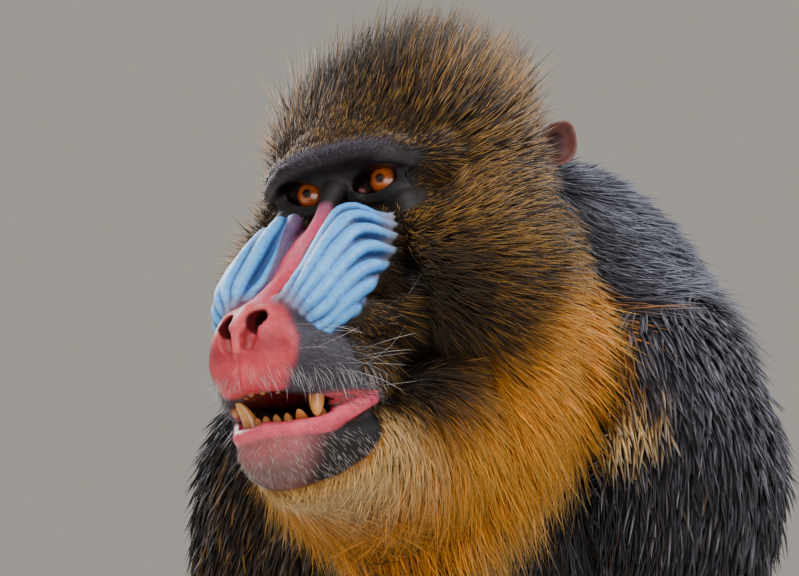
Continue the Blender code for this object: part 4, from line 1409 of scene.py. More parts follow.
class Region(Enum):
    """The pieces that the coat is made in."""

    CROWN = "coat_crown"
    CHEEKS = "coat_cheeks"
    BEARD = "coat_beard"
    NAPE = "coat_nape"
    MANTLE = "coat_mantle"
    BACK = "coat_back"
    ARM_LEFT = "coat_arm_L"
    ARM_RIGHT = "coat_arm_R"
    LEG_LEFT = "coat_leg_L"
    LEG_RIGHT = "coat_leg_R"


@dataclass
class Tufts:
    """Tufts as arrays, one row to a tuft."""

    roots: np.ndarray
    normals: np.ndarray
    lies: np.ndarray
    lengths: np.ndarray
    widths: np.ndarray
    lifts: np.ndarray
    bends: np.ndarray
    colours: np.ndarray
    charts: np.ndarray

    def picked(self, rows: np.ndarray) -> "Tufts":
        """The tufts of the chosen rows only."""
        return Tufts(*(getattr(self, name)[rows] for name in self.__dataclass_fields__))


class TuftMesher:
    """Turns tufts into one mesh: each is a flat tapered lock of three sides that bends along its length."""

    # Side of a tuft's patch on the bake map, and its thickness as a share of its width
    PATCH = 0.003
    FLATNESS = 0.42
    # Spreads of the tip's sideways curl, in lengths, of the turn about the tuft, and of the strand map
    CURL = 0.07
    TWIST = 0.6
    STRAND_SPREAD = 40
    # Bearings of the three corners of a section
    CORNERS = (0.5, 2.6, 3.7)
    LOWEST = 0.0004

    def __init__(self, rings: tuple[tuple[float, float], ...], seed: int, sink: float) -> None:
        """Keeps the shares of the length where the rings lie, and how wide each is.

        Args:
            rings: Share of the length and share of the width of each ring, root first.
            seed: Seeds the curl of the tufts.
            sink: How deep the root stands in the skin.
        """
        self.rings = rings
        self.seed = seed
        self.sink = sink

    def template(self) -> tuple[np.ndarray, np.ndarray]:
        """The triangles of one tuft, and where each of their corners lies on its patch.

        Returns:
            Corner numbers, and the share across and along the patch for each.
        """
        shares = [s for s, _ in self.rings] + [1.0]
        faces, across = [], []
        last = len(self.rings) - 1
        for r in range(last):
            for k in range(3):
                n = (k + 1) % 3
                faces += [(3 * r + k, 3 * r + n, 3 * r + 3 + n), (3 * r + k, 3 * r + 3 + n, 3 * r + 3 + k)]
                across += [(k, k + 1, k + 1), (k, k + 1, k)]
        for k in range(3):
            faces.append((3 * last + k, 3 * last + (k + 1) % 3, 3 * last + 3))
            across.append((k, k + 1, k + 0.5))
        faces.append((2, 1, 0))
        across.append((2, 1, 0))
        faces = np.array(faces)
        along = np.array(shares)[np.minimum(faces // 3, len(shares) - 1)]
        return faces, np.stack([np.array(across) / 3, along], axis=-1)

    def mesh(self, name: str, tufts: Tufts) -> bpy.types.Object:
        """Makes the piece.

        A tuft's middle line at share s is root + length (start s + (end - start) s^2 / 2), where start
        and end are its ways at the root and at the tip; a sideways curl grows with s^2.

        Args:
            name: The piece's name.
            tufts: The tufts.

        Returns:
            The object, with colours and both of its maps.
        """
        count = len(tufts.roots)
        rng = np.random.default_rng(self.seed)
        along = unit(tufts.lies - tufts.normals * np.sum(tufts.lies * tufts.normals, axis=1)[:, None])
        side = np.cross(along, tufts.normals)
        lift, bend = tufts.lifts[:, None], tufts.bends[:, None]
        start = along * np.cos(lift) + tufts.normals * np.sin(lift)
        end = along * np.cos(lift - bend) + tufts.normals * np.sin(lift - bend)
        curl = rng.normal(0, self.CURL, (count, 1)) * tufts.lengths[:, None]
        twist = rng.uniform(-self.TWIST, self.TWIST, (count, 1))
        per = 3 * len(self.rings) + 1
        points = np.empty((count, per, 3))
        for r, (share, wide) in enumerate(self.rings):
            middle = tufts.roots + tufts.lengths[:, None] * (start * share + (end - start) * share**2 / 2)
            middle = middle + side * curl * share**2
            if r == 0:
                middle = middle - start * self.sink
            heading = unit(start * (1 - share) + end * share)
            up = np.cross(side, heading)
            turned = side * np.cos(twist) + up * np.sin(twist)
            over = np.cross(turned, heading)
            for k, corner in enumerate(self.CORNERS):
                swing = turned * math.cos(corner) - over * (self.FLATNESS * math.sin(corner))
                points[:, 3 * r + k] = middle + swing * (tufts.widths[:, None] * wide / 2)
        points[:, -1] = tufts.roots + (start + end) * (tufts.lengths[:, None] / 2) + side * curl
        points[:, :, 2] = np.maximum(points[:, :, 2], self.LOWEST)
        faces, maps = self.template()
        every = (faces[None] + per * np.arange(count)[:, None, None]).reshape(-1, 3)
        obj = put_mesh(name, points.reshape(-1, 3), every)
        self._paint(obj, tufts, per)
        self._unwrap(obj, "OFBake", tufts.charts[:, None, None] + (maps[None] - 0.5) * self.PATCH)
        shift = rng.uniform(0, self.STRAND_SPREAD, (count, 1, 1, 1)) * np.array([1.0, 0.0])
        self._unwrap(obj, "strand", maps[None] + shift)
        return obj

    def _paint(self, obj: bpy.types.Object, tufts: Tufts, per: int) -> None:
        """Blends each tuft's root, middle and tip colours along its rings."""
        shares = np.array([s for s, _ in self.rings for _ in range(3)] + [1.0])
        stops = np.linspace(0, 1, tufts.colours.shape[1])
        weights = np.array([np.interp(shares, stops, row) for row in np.eye(len(stops))])
        colours = np.einsum("sp,nsc->npc", weights, tufts.colours)
        alpha = np.ones((len(tufts.roots), per, 1))
        paint(obj, "tint", np.concatenate([colours, alpha], axis=2).reshape(-1, 4))

    @staticmethod
    def _unwrap(obj: bpy.types.Object, name: str, places: np.ndarray) -> None:
        """Stores a map from places given for each corner of each face."""
        layer = obj.data.uv_layers.new(name=name)
        layer.uv.foreach_set("vector", places.astype(np.float32).ravel())


class Coat:
    """The coat: how dense, long and steep it is, how it lies and what colour it has at each place."""

    SEED = 11
    # Outlines on the side of the head, as y and z in the head's frame
    GOLD_OUTLINE = metres([
        (-85, -166), (-45, -158), (-16, -152), (10, -134), (30, -112), (48, -84), (78, -64), (110, -58),
        (130, -76), (136, -116), (120, -146), (84, -162), (60, -190), (52, -245), (-85, -245),
    ])
    CREAM_OUTLINE = metres([
        (40, -198), (66, -164), (100, -146), (142, -136), (146, -158), (110, -176), (78, -196),
        (60, -232), (40, -232),
    ])
    # The colours of each kind of hair, from the root to the tip
    TONES = {
        "brown": ("16100C", "2E2014", "5E421E", "CC943A"),
        "plain": ("16100C", "2A1E15", "3C2B1A", "422F1B"),
        "gold": ("A8641A", "D8861C", "F29C22", "FFC45C"),
        "cream": ("B8843E", "E0AE62", "F4D090", "FFE8BE"),
        "grey": ("0F0E12", "1B1A20", "292830", "3E3D48"),
        # Lighter blue-grey hair that stands in for the rim light on the nape and upper back: a painted sheen
        "haze": ("1E1E23", "3C3C46", "5F5F6E", "90909F"),
        "silver": ("1A191E", "302F38", "5E5C68", "A8A6B2"),
        "dark": ("0C0A09", "17120F", "221B16", "3A2C1F"),
        "pale": ("5A5142", "857A66", "A39880", "B8AE98"),
    }
    RUMP_HEIGHT = 0.040
    RUMP_REACH = (0.072, 0.078)
    # Tufts to a square metre on the lower trunk, the mantle, the limbs, the head and near the face
    LOWER_DENSITY = 50000
    MANTLE_DENSITY = 200000
    LIMB_DENSITY = 52000.0
    HEAD_DENSITY = 310000
    FACE_DENSITY = 640000
    # How far back the coat still grows on the face's shell, and where the trunk's shell takes over
    FACE_END = 0.032
    OVERLAP = 0.004
    # Heights where the pieces of coat meet
    MANTLE_FROM = 0.36
    CROWN_FROM = 0.020
    BEARD_BELOW = -0.120
    # The point that the head's bake map is laid out round, and the map's free margin
    HEAD_MIDDLE = np.array([0.0, 0.06, -0.04])
    MARGIN = 0.004
    MOST_TUFTS = 19500
    RINGS = ((0.0, 0.8), (0.48, 0.95))
    SINK = 0.0022

    def __init__(self, head: HeadFrame, body: Body, face: Face) -> None:
        """Keeps the frames that the markings are set out in.

        Args:
            head: The head's frame.
            body: The stretches of the body.
            face: The bare face, whose edge the coat starts at.
        """
        self.head, self.body, self.face = head, body, face

    def bareness(self, points: np.ndarray, normals: np.ndarray) -> np.ndarray:
        """How bare the skin is: 1 on the face, palms, soles and rump, 0 under the coat.

        Args:
            points: World places.
            normals: The skin's normals there.

        Returns:
            The share, one value to a place.
        """
        inner = self.head.inward(points)
        x, _, z = inner.T
        rows = np.array(Proportions.BROW)
        top = np.interp(x, rows[:, 0], rows[:, 2] + 0.65 * rows[:, 3])
        face = ramp(self.face.bare_edge(inner), -0.002, 0.002) * ramp(z - top, 0.0015, -0.0015)
        low = points - self.body.shift
        under = ramp(normals[:, 2], -0.35, -0.6) * ramp(low[:, 2], 0.030, 0.022)
        return np.maximum.reduce([face, self.rump(low), under])

    @staticmethod
    def rump(low: np.ndarray) -> np.ndarray:
        """The share of the bare rump, a round patch low on the back.

        Args:
            low: Places in the body's own frame.

        Returns:
            The share, one value to a place.
        """
        wide, high = Coat.RUMP_REACH
        reach = np.hypot(low[:, 0] / wide, (low[:, 2] - Coat.RUMP_HEIGHT) / high)
        return ramp(reach, 1.05, 0.95) * ramp(low[:, 1], 0.155, 0.175)

    def markings(self, points: np.ndarray) -> dict[str, np.ndarray]:
        """The shares of each marking by place, from the head's and the body's own frames.

        Args:
            points: World places.

        Returns:
            gold, cream, grey, the painted rim sheen, dark and pale, each from 0 to 1.
        """
        x, y, z = self.head.inward(points).T
        side = np.abs(x)
        low = points - self.body.shift
        flat = np.column_stack([y, z])
        gold = ramp(depth_inside(flat, self.GOLD_OUTLINE), -0.016, 0.018)
        gold *= 1 - ramp(y, 0.085, 0.105) * ramp(side, 0.060, 0.045)
        gold *= ramp(side, 0.122, 0.104) * ramp(low[:, 2], 0.34, 0.38)
        chin = ramp(y, 0.010, -0.045) * ramp(z, -0.150, -0.162) * ramp(z, -0.215, -0.195)
        fringe = ramp(depth_inside(flat, self.CREAM_OUTLINE), -0.012, 0.012) * ramp(side, 0.140, 0.115)
        fringe *= ramp(side, 0.030, 0.055)
        edge = -self.face.bare_edge(np.column_stack([x, y, z]))
        round_chin = ramp(edge, 0.034, 0.010) * ramp(z, -0.142, -0.158)
        grey = ramp(y, 0.085, 0.125) * (1 - gold)
        # Lighter blue-grey on the nape and upper back: the rim light's sheen, painted into the hair
        haze = 0.85 * ramp(low[:, 2], 0.340, 0.540) * ramp(y, 0.115, 0.155) * (1 - gold)
        dark = bump_of(y, -0.014, 0.042) * ramp(z, -0.030, -0.060) * ramp(z, -0.150, -0.130) * (1 - gold)
        dark = np.maximum(dark, 0.75 * ramp(z, 0.040, 0.085))
        cream = np.maximum.reduce([chin * gold, 0.75 * fringe, 0.85 * round_chin])
        pale = ramp(low[:, 1], 0.06, -0.02) * ramp(low[:, 2], 0.40, 0.34)
        pale *= ramp(np.abs(low[:, 0]), 0.12, 0.08)
        pale *= ramp(low[:, 1], -0.13, -0.09)
        return {"gold": gold, "cream": cream, "grey": grey, "haze": haze, "dark": dark, "pale": pale}

    def skin_tint(self, points: np.ndarray) -> np.ndarray:
        """The skin's colour and roughness away from the face: the coat's root colour where it is covered.

        Args:
            points: World places.

        Returns:
            Linear red, green, blue and roughness, one row to a place.
        """
        marks = self.markings(points)
        layers = Layers("241D19", len(points), 0.65)
        layers.lay("17161A", marks["grey"], 0.65)
        layers.lay("A0661E", marks["gold"], 0.65)
        layers.lay("59503F", marks["pale"], 0.65)
        low = points - self.body.shift
        paws = ramp(low[:, 2], 0.075, 0.050) * ramp(low[:, 1], -0.03, -0.06)
        layers.lay("2B2627", paws, 0.50)
        rump = self.rump(low)
        layers.lay("8878B4", rump, 0.50)
        layers.lay("AE6480", rump * ramp(np.abs(low[:, 0]), 0.048, 0.012), 0.50)
        return layers.values

    def lies(self, points: np.ndarray, ways: np.ndarray, number: np.ndarray) -> np.ndarray:
        """The way the coat lies: up and back on the crown, back on the cheeks, down on the trunk.

        Args:
            points: World places.
            ways: The way the stretches of body run there.
            number: The stretch's number.

        Returns:
            Directions in the world, not yet laid along the skin.
        """
        inner = self.head.inward(points)
        x, y, z = inner.T
        one = np.ones(len(points))
        crown = np.column_stack([2.0 * x, 0.75 * one, 0.9 - 3.5 * np.maximum(0, y - 0.08)])
        cheek = np.column_stack([2.0 * x, 0.9 * one, 4.0 * z - 0.05])
        beard = np.column_stack([2.2 * x, 0.25 + 2.0 * np.clip(y, -0.05, 0.1), -1.0 * one])
        up = ramp(z, 0.000, 0.040)[:, None]
        down = ramp(z, -0.105, -0.150)[:, None]
        on_head = unit(unit(crown) * up + unit(cheek) * (1 - up) * (1 - down) + unit(beard) * down)
        on_head = on_head @ self.head.turn.T
        low = points - self.body.shift
        high = ramp(low[:, 2], 0.40, 0.55)
        rearward = np.maximum(ramp(low[:, 1], -0.06, 0.03), 0.8 * ramp(np.abs(low[:, 0]), 0.05, 0.10))
        trunk = np.column_stack([1.5 * low[:, 0], rearward * (0.5 + 0.7 * high) - 0.1, -1.0 + 0.65 * high])
        limb = unit(ways)
        out = np.where((number <= 1)[:, None], unit(trunk), limb)
        return np.where(self.body.is_head(number)[:, None], on_head, out)

    def charts(
        self, points: np.ndarray, number: np.ndarray, along: np.ndarray, angle: np.ndarray
    ) -> np.ndarray:
        """The place of each root on its piece's bake map.

        The head is laid out by its bearing and height round its middle, and a stretch of body by the
        angle round it and the share along it.

        Args:
            points: World places.
            number: The stretch's number.
            along: The share along it.
            angle: The angle round it.

        Returns:
            Two values from 0 to 1 for each place.
        """
        inner = self.head.inward(points) - self.HEAD_MIDDLE
        bearing = np.arctan2(inner[:, 0], inner[:, 1]) / (2 * np.pi) + 0.5
        height = np.arcsin(np.clip(unit(inner)[:, 2], -1, 1)) / np.pi + 0.5
        lows = np.array([c.low for c in self.body.chains] + [0.0])[number]
        highs = np.array([c.high for c in self.body.chains] + [1.0])[number]
        out = np.column_stack([angle / (2 * np.pi) + 0.5, lows + along * (highs - lows)])
        out = np.where(self.body.is_head(number)[:, None], np.column_stack([bearing, height]), out)
        return self.MARGIN + (1 - 2 * self.MARGIN) * np.clip(out, 0, 1)

    def regions(self, points: np.ndarray, number: np.ndarray) -> np.ndarray:
        """The piece of coat that each root belongs to, as its place in the list of regions."""
        order = list(Region)
        z = self.head.inward(points)[:, 2]
        low = points - self.body.shift
        on_head = self.body.is_head(number)
        out = np.full(len(points), order.index(Region.BACK))
        out[low[:, 2] > self.MANTLE_FROM] = order.index(Region.MANTLE)
        out[number == 1] = order.index(Region.NAPE)
        for k, chain in enumerate(self.body.chains):
            if chain.group.startswith(("arm", "leg")):
                limb = "ARM" if chain.group.startswith("arm") else "LEG"
                side = "LEFT" if chain.group.endswith("L") else "RIGHT"
                out[number == k] = order.index(Region[f"{limb}_{side}"])
        out[on_head] = order.index(Region.CHEEKS)
        out[on_head & (z > self.CROWN_FROM)] = order.index(Region.CROWN)
        out[on_head & (z < self.BEARD_BELOW)] = order.index(Region.BEARD)
        return out

    def density(self, points: np.ndarray, normals: np.ndarray, number: np.ndarray) -> np.ndarray:
        """Tufts to a square metre at each place."""
        low = points - self.body.shift
        on_head = self.body.is_head(number)
        more = self.MANTLE_DENSITY - self.LOWER_DENSITY
        trunk = self.LOWER_DENSITY + more * ramp(low[:, 2], 0.32, 0.44)
        out = np.where(number <= 1, trunk, self.LIMB_DENSITY)
        _, y, z = self.head.inward(points).T
        more = self.FACE_DENSITY - self.HEAD_DENSITY
        head = (self.HEAD_DENSITY + more * ramp(y, 0.06, 0.0)) * (1 - 0.35 * ramp(z, -0.130, -0.160))
        out = np.where(on_head, head, out)
        return out * (1 - self.bareness(points, normals)) ** 2

    def style(self, points: np.ndarray, normals: np.ndarray, rng: np.random.Generator) -> Tufts:
        """Gives every root its tuft.

        Args:
            points: World places of the roots.
            normals: The skin's normals there.
            rng: Draws what varies from tuft to tuft.

        Returns:
            The tufts.
        """
        number, along, angle, ways = self.body.nearest(points)
        x, y, z = self.head.inward(points).T
        low = points - self.body.shift
        on_head = self.body.is_head(number)
        trunk = number <= 1
        crown = ramp(z, 0.005, 0.045)
        beard = ramp(z, -0.110, -0.150)
        count = len(points)
        edge = -self.face.bare_edge(np.column_stack([x, y, z]))
        muzzle_side = ramp(z, -0.085, -0.105)
        crest = 0.009 + 0.051 * ramp(y, -0.006, 0.055)
        temple = ramp(z, -0.060, -0.020) * ramp(x, -0.020, 0.020)
        cheek = 0.006 + (0.023 - 0.009 * temple) * ramp(edge, 0.0, 0.016 + 0.045 * muzzle_side)
        long_beard = 0.010 + 0.045 * ramp(y, -0.055, 0.02) + 0.012 * ramp(z, -0.16, -0.19)
        head_length = crest * crown + cheek * (1 - crown) * (1 - beard) + long_beard * beard
        mantle = ramp(low[:, 2], 0.30, 0.42)
        nape = ramp(low[:, 2], 0.52, 0.56)
        trunk_length = 0.036 + 0.022 * mantle - 0.026 * nape
        reach = np.minimum(0.020 + 0.008 * ramp(low[:, 2], 0.2, 0.4), 0.010 + 0.35 * np.maximum(low[:, 2], 0))
        paws = ramp(low[:, 2], 0.075, 0.045)
        limb_length = reach * (1 - paws) + 0.007 * paws
        length = np.where(on_head, head_length, np.where(trunk, trunk_length, limb_length))
        length = length * rng.uniform(0.72, 1.18, count)
        raised = 20 + 28 * ramp(edge, 0.0, 0.02) * (1 - muzzle_side) * ramp(y, 0.09, 0.04)
        crest_lift = 18 + 44 * ramp(y, -0.005, 0.05)
        lift = np.where(on_head, raised * (1 - crown) + crest_lift * crown + 6 * beard, 17)
        lift = np.where(trunk, 20 - 10 * nape, lift)
        bend = np.where(on_head, 14 + 16 * crown + 14 * beard, 15)
        wide = np.where(on_head, 0.00080, np.where(trunk, 0.0028 - 0.0016 * mantle, 0.0024))
        lies = self.lies(points, ways, number) + rng.normal(0, 0.10, (count, 3))
        return Tufts(
            points,
            normals,
            lies,
            length,
            wide * rng.uniform(0.8, 1.25, count),
            np.radians(lift + rng.normal(0, 6, count)),
            np.radians(bend + rng.normal(0, 7, count)),
            self.colours(points, rng),
            self.charts(points, number, along, angle),
        )

    def colours(self, points: np.ndarray, rng: np.random.Generator) -> np.ndarray:
        """The colour of each tuft at its root, at two places along it and at its tip.

        Args:
            points: World places of the roots.
            rng: Draws which tufts are ticked.

        Returns:
            Linear colours, four to a tuft.
        """
        marks = self.markings(points)
        count = len(points)
        z = self.head.inward(points)[:, 2]
        often = 0.55 - 0.36 * ramp(z, 0.030, 0.075) - 0.22 * ramp(z, -0.045, -0.080)
        ticked = rng.uniform(0, 1, count) < often
        silver = rng.uniform(0, 1, count) < 0.14
        shade = np.exp(rng.normal(0, 0.15, count))[:, None]
        tones = {name: np.array([linear(c) for c in row]) for name, row in self.TONES.items()}
        out = np.where(ticked[:, None, None], tones["brown"], tones["plain"])
        for mark in ("dark", "grey", "haze", "pale", "gold", "cream"):
            new = np.broadcast_to(tones[mark], out.shape)
            if mark == "grey":
                new = np.where(silver[:, None, None], tones["silver"], new)
            share = np.clip(marks[mark] + rng.normal(0, 0.12, count) * (marks[mark] > 0.02), 0, 1)
            out = out + (new - out) * share[:, None, None]
        return out * shade[:, :, None]

    def build(self, shells: list[Shell]) -> list[bpy.types.Object]:
        """Sows roots over the skin, by density and area, and makes a piece for each region.

        Args:
            shells: Points, faces and normals of the skin's shells.

        Returns:
            The pieces.
        """
        rng = np.random.default_rng(self.SEED)
        roots, normals = [], []
        for points, faces, corner_normals in shells:
            middles = points[faces].mean(axis=1)
            facing = unit(corner_normals[faces].mean(axis=1))
            area = np.linalg.norm(across_faces(points, faces), axis=1) / 2
            number = self.body.nearest(middles)[0]
            wanted = self.density(middles, facing, number) * area * self._outermost(middles, shells, points)
            chosen = rng.uniform(0, 1, len(wanted)) < wanted % 1
            times = wanted.astype(int) + chosen
            rows = np.repeat(np.arange(len(faces)), times)
            roots.append(sown(points, faces, rows, rng))
            normals.append(facing[rows])
        tufts = self.style(np.vstack(roots), np.vstack(normals), rng)
        which = self.regions(tufts.roots, self.body.nearest(tufts.roots)[0])
        material = self.material()
        pieces = []
        for k, region in enumerate(Region):
            rows = np.nonzero(which == k)[0]
            parts = max(1, math.ceil(len(rows) / self.MOST_TUFTS))
            for part in range(parts):
                name = region.value if parts == 1 else f"{region.value}_{part + 1}"
                mesher = TuftMesher(self.RINGS, self.SEED + 10 * k + part, self.SINK)
                piece = mesher.mesh(name, tufts.picked(rows[part::parts]))
                piece.data.materials.append(material)
                pieces.append(piece)
        return pieces

    def _outermost(self, middles: np.ndarray, shells: list, own: np.ndarray) -> np.ndarray:
        """1 where a place isn't buried under the face's shell, else 0.

        Args:
            middles: Places on the skin.
            shells: All the shells, the face's first.
            own: The points of the shell that the places are on.

        Returns:
            One value to a place.
        """
        inner = self.head.inward(middles)
        if own is shells[0][0]:
            return (inner[:, 1] < self.FACE_END).astype(float)
        in_block = np.all((inner > Face.LOW) & (inner < Face.HIGH - (0.0, self.OVERLAP, 0.0)), axis=1)
        return np.where(in_block, 0.0, 1.0)

    @staticmethod
    def material() -> bpy.types.Material:
        """Hair: dull at the root, with a long soft gloss, and fine strands drawn along each tuft.

        Returns:
            The material, which reads the tufts' colours and their own strand map.
        """
        material, tree = start_material("guard_hair", Roughness=0.55, Specular_IOR_Level=0.28, IOR=1.55)
        strand = add_node(tree, "UVMap", {"uv_map": "strand"}).outputs["UV"]
        # 12 strands round a tuft, so about 0.1 mm apart on the head, long along it
        stretched = add_node(tree, "Mapping", Vector=strand, Scale=(12.0, 1.6, 1.0))
        flat = {"noise_dimensions": "2D"}
        hairs = add_node(tree, "TexNoise", flat, Vector=stretched.outputs[0], Scale=1.0, Detail=2.0)
        shade_tint(tree, hairs.outputs["Fac"], 0.55, 1.45)
        lines = add_node(tree, "Bump", Strength=0.35, Distance=0.0002, Height=hairs.outputs["Fac"])
        feed(tree, "Normal", lines.outputs[0])
        return material


@dataclass(frozen=True)
class HeadPart:
    """Something that is built in the head's frame."""

    head: HeadFrame


class Eyes(HeadPart):
    """Eyeballs with an amber iris, a dark pupil and a clear wet coat, bulged a little in front."""

    IRIS = 0.0086
    PUPIL = 0.0024
    GAZE = (6.0, 3.0)
    # How far the cornea stands out, and the angle of its edge from the gaze
    BULGE = 0.0006
    CORNEA_EDGE = 0.62

    def build(self) -> None:
        """Makes both eyes.

        A ball is a grid of turns round the gaze and of distance from it; inside the cornea the radius
        grows by 0.6 mm cos^2 of the share of its edge.
        """
        material = self.material()
        turns = np.linspace(0, 2 * np.pi, 65)[:-1]
        tilt = np.concatenate([np.linspace(0.0, 0.90, 56), np.linspace(0.95, np.pi, 22)])
        grid_tilt, grid_turn = np.meshgrid(tilt, turns, indexing="ij")
        bulge = self.BULGE * np.cos(np.clip(grid_tilt / self.CORNEA_EDGE, 0, 1) * np.pi / 2) ** 2
        radius = Proportions.EYE_RADIUS - 0.0002 + bulge
        aside = np.sin(grid_tilt)
        local = np.stack([aside * np.cos(grid_turn), -np.cos(grid_tilt), aside * np.sin(grid_turn)])
        local = np.moveaxis(local * radius, 0, -1).reshape(-1, 3)
        faces = grid_faces(*grid_tilt.shape)
        for side in Side:
            centre = np.array(side.mirror(Proportions.EYE_BALL))
            obj = put_mesh(f"eyeball_{side.letter}", self.head.outward(local + centre), faces)
            merge_and_turn_out(obj)
            flat = self.head.inward(read_points(obj)) - centre
            paint(obj, "tint", self.tint(flat))
            obj.data.materials.append(material)
            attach(obj, "root")
            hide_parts(f"eye_{side.letter}")

    def tint(self, flat: np.ndarray) -> np.ndarray:
        """The eye's colours by distance from the gaze: pupil, iris with spokes, dark rim, brown white.

        Args:
            flat: Places from the ball's centre.

        Returns:
            Linear colours with 1 as the fourth value.
        """
        flat = flat @ turn_about(2, self.GAZE[0]) @ turn_about(0, -self.GAZE[1])
        aside = np.hypot(flat[:, 0], flat[:, 2])
        ahead = flat[:, 1] < 0
        angle = np.arctan2(flat[:, 2], flat[:, 0])
        spokes = 0.5 + 0.25 * np.sin(23 * angle + 40 * aside / 0.007) + 0.25 * np.sin(41 * angle + 1.3)
        layers = Layers("1E110E", len(flat), 0.1)
        layers.lay("8C380A", ramp(aside, self.IRIS, self.IRIS - 0.0006) * ahead, 0.1)
        layers.lay("D06E16", ramp(aside, 0.0078, 0.0048) * spokes * ahead, 0.1)
        layers.lay("7A300A", bump_of(aside, self.PUPIL + 0.0003, 0.0010) * ahead, 0.1)
        layers.lay("2A1008", bump_of(aside, self.IRIS, 0.0010) * ahead, 0.1)
        layers.lay("050302", ramp(aside, self.PUPIL + 0.0002, self.PUPIL - 0.0002) * ahead, 0.1)
        layers.values[:, 3] = 1.0
        return layers.values

    @staticmethod
    def material() -> bpy.types.Material:
        """Wet cornea over a painted iris: very smooth, with a clear coat that gives the catch light."""
        inputs = {"Roughness": 0.12, "Coat_Weight": 1.0, "Coat_Roughness": 0.02, "IOR": 1.38}
        material, tree = start_material("wet_cornea", **inputs)
        place = add_node(tree, "TexCoord").outputs["Object"]
        # Flecks 0.6 mm across
        flecks = add_node(tree, "TexNoise", Vector=place, Scale=1600.0, Detail=3.0)
        shade_tint(tree, flecks.outputs["Fac"], 0.75, 1.25)
        return material


class Teeth(HeadPart):
    """The canines, incisors and cheek teeth that the open mouth shows."""

    # A canine's root, its length and radius on the left and on the right, and its lean aside and ahead
    CANINES = {
        "teeth_upper": ((0.0280, -0.0925, -0.1360), (-0.0175, 0.0054), (-0.0100, 0.0042), (0.0, -0.001)),
        "teeth_lower": ((0.0175, -0.0925, -0.1590), (0.0100, 0.0046), (0.0215, 0.0056), (0.0040, -0.010)),
    }
    # Rows of small teeth: how many, the first one's root, the step to the next, length, radius and lean
    SMALL = {
        "teeth_upper": (
            (2, (0.0040, -0.1120, -0.1310), (0.0070, 0.0050), -0.0080, 0.0033, (0.0, 0.0)),
            (2, (0.0305, -0.0790, -0.1365), (0.0015, 0.0090), -0.0080, 0.0037, (0.0, 0.0)),
        ),
        "teeth_lower": (
            (2, (0.0036, -0.0980, -0.1590), (0.0068, 0.0015), 0.0098, 0.0036, (0.0, -0.002)),
            (3, (0.0245, -0.0830, -0.1570), (0.0030, 0.0095), 0.0105, 0.0040, (0.0, 0.0)),
        ),
    }
    # The heights between which a row's colour goes from the gum's to the tip's
    TIPS = {"teeth_upper": (-0.137, -0.150), "teeth_lower": (-0.158, -0.147)}

    def tooth(self, root: tuple, length: float, radius: float, lean: tuple) -> tuple[np.ndarray, np.ndarray]:
        """One tooth: rings that narrow as the root of 1 - s^2.2 along a line that leans with s^2.

        Args:
            root: Its middle at the gum, in the head's frame.
            length: How far it stands, negative for one that points down.
            radius: Its radius at the root.
            lean: How far the tip lies aside and ahead of the root.

        Returns:
            The points in the head's frame and the faces.
        """
        turns = np.linspace(0, 2 * np.pi, 15)[:-1]
        share = np.array([-0.35, 0.0, 0.15, 0.3, 0.45, 0.6, 0.75, 0.87, 0.95, 0.995])
        s, a = np.meshgrid(share, turns, indexing="ij")
        wide = radius * np.sqrt(np.maximum(1 - np.maximum(s, 0) ** 2.2, 0.0))
        points = np.stack([
            root[0] + lean[0] * s * np.abs(s) + wide * np.cos(a),
            root[1] + lean[1] * s * np.abs(s) + wide * np.sin(a) * 0.86,
            root[2] + length * s,
        ], axis=-1).reshape(-1, 3)
        rows, columns = s.shape
        faces = grid_faces(rows, columns)[:, [0, 3, 2, 1]]
        k = np.arange(columns // 2 - 1)
        ends = np.column_stack([k, columns - 1 - k, columns - 2 - k, k + 1])
        return points, np.vstack([faces, ends, ends[:, ::-1] + (rows - 1) * columns])

    def build(self) -> None:
        """Makes the upper and the lower row as two pieces."""
        material = self.material()
        for name, (canine, left, right, lean) in self.CANINES.items():
            teeth = []
            for side in Side:
                size = left if side is Side.LEFT else right
                teeth.append(self.tooth(side.mirror(canine), *size, side.mirror(lean)))
                for count, (x, y, z), (dx, dy), length, radius, tilt in self.SMALL[name]:
                    roots = [side.mirror((x + dx * k, y + dy * k, z)) for k in range(count)]
                    teeth += [self.tooth(root, length, radius, tilt) for root in roots]
            points, faces = joined(teeth)
            obj = put_mesh(name, self.head.outward(points), faces)
            merge_and_turn_out(obj)
            tips = self.head.inward(read_points(obj))[:, 2]
            layers = Layers("8C480C", len(tips), 1.0)
            layers.lay("DA964E", ramp(tips, *self.TIPS[name]), 1.0)
            paint(obj, "tint", layers.values)
            obj.data.materials.append(material)
            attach(obj, "root")

    @staticmethod
    def material() -> bpy.types.Material:
        """Worn enamel: yellow, brown at the gum and lighter towards the tip, wet and glossy, finely streaked
        lengthwise.
        """
        material, tree = start_material("worn_enamel", Roughness=0.24, IOR=1.62)
        place = add_node(tree, "TexCoord").outputs["Object"]
        # Streaks 0.7 mm apart that run down the tooth
        stretched = add_node(tree, "Mapping", Vector=place, Scale=(1400.0, 1400.0, 260.0))
        streaks = add_node(tree, "TexNoise", Vector=stretched.outputs[0], Scale=1.0, Detail=3.0)
        shade_tint(tree, streaks.outputs["Fac"], 0.72, 1.1)
        return material


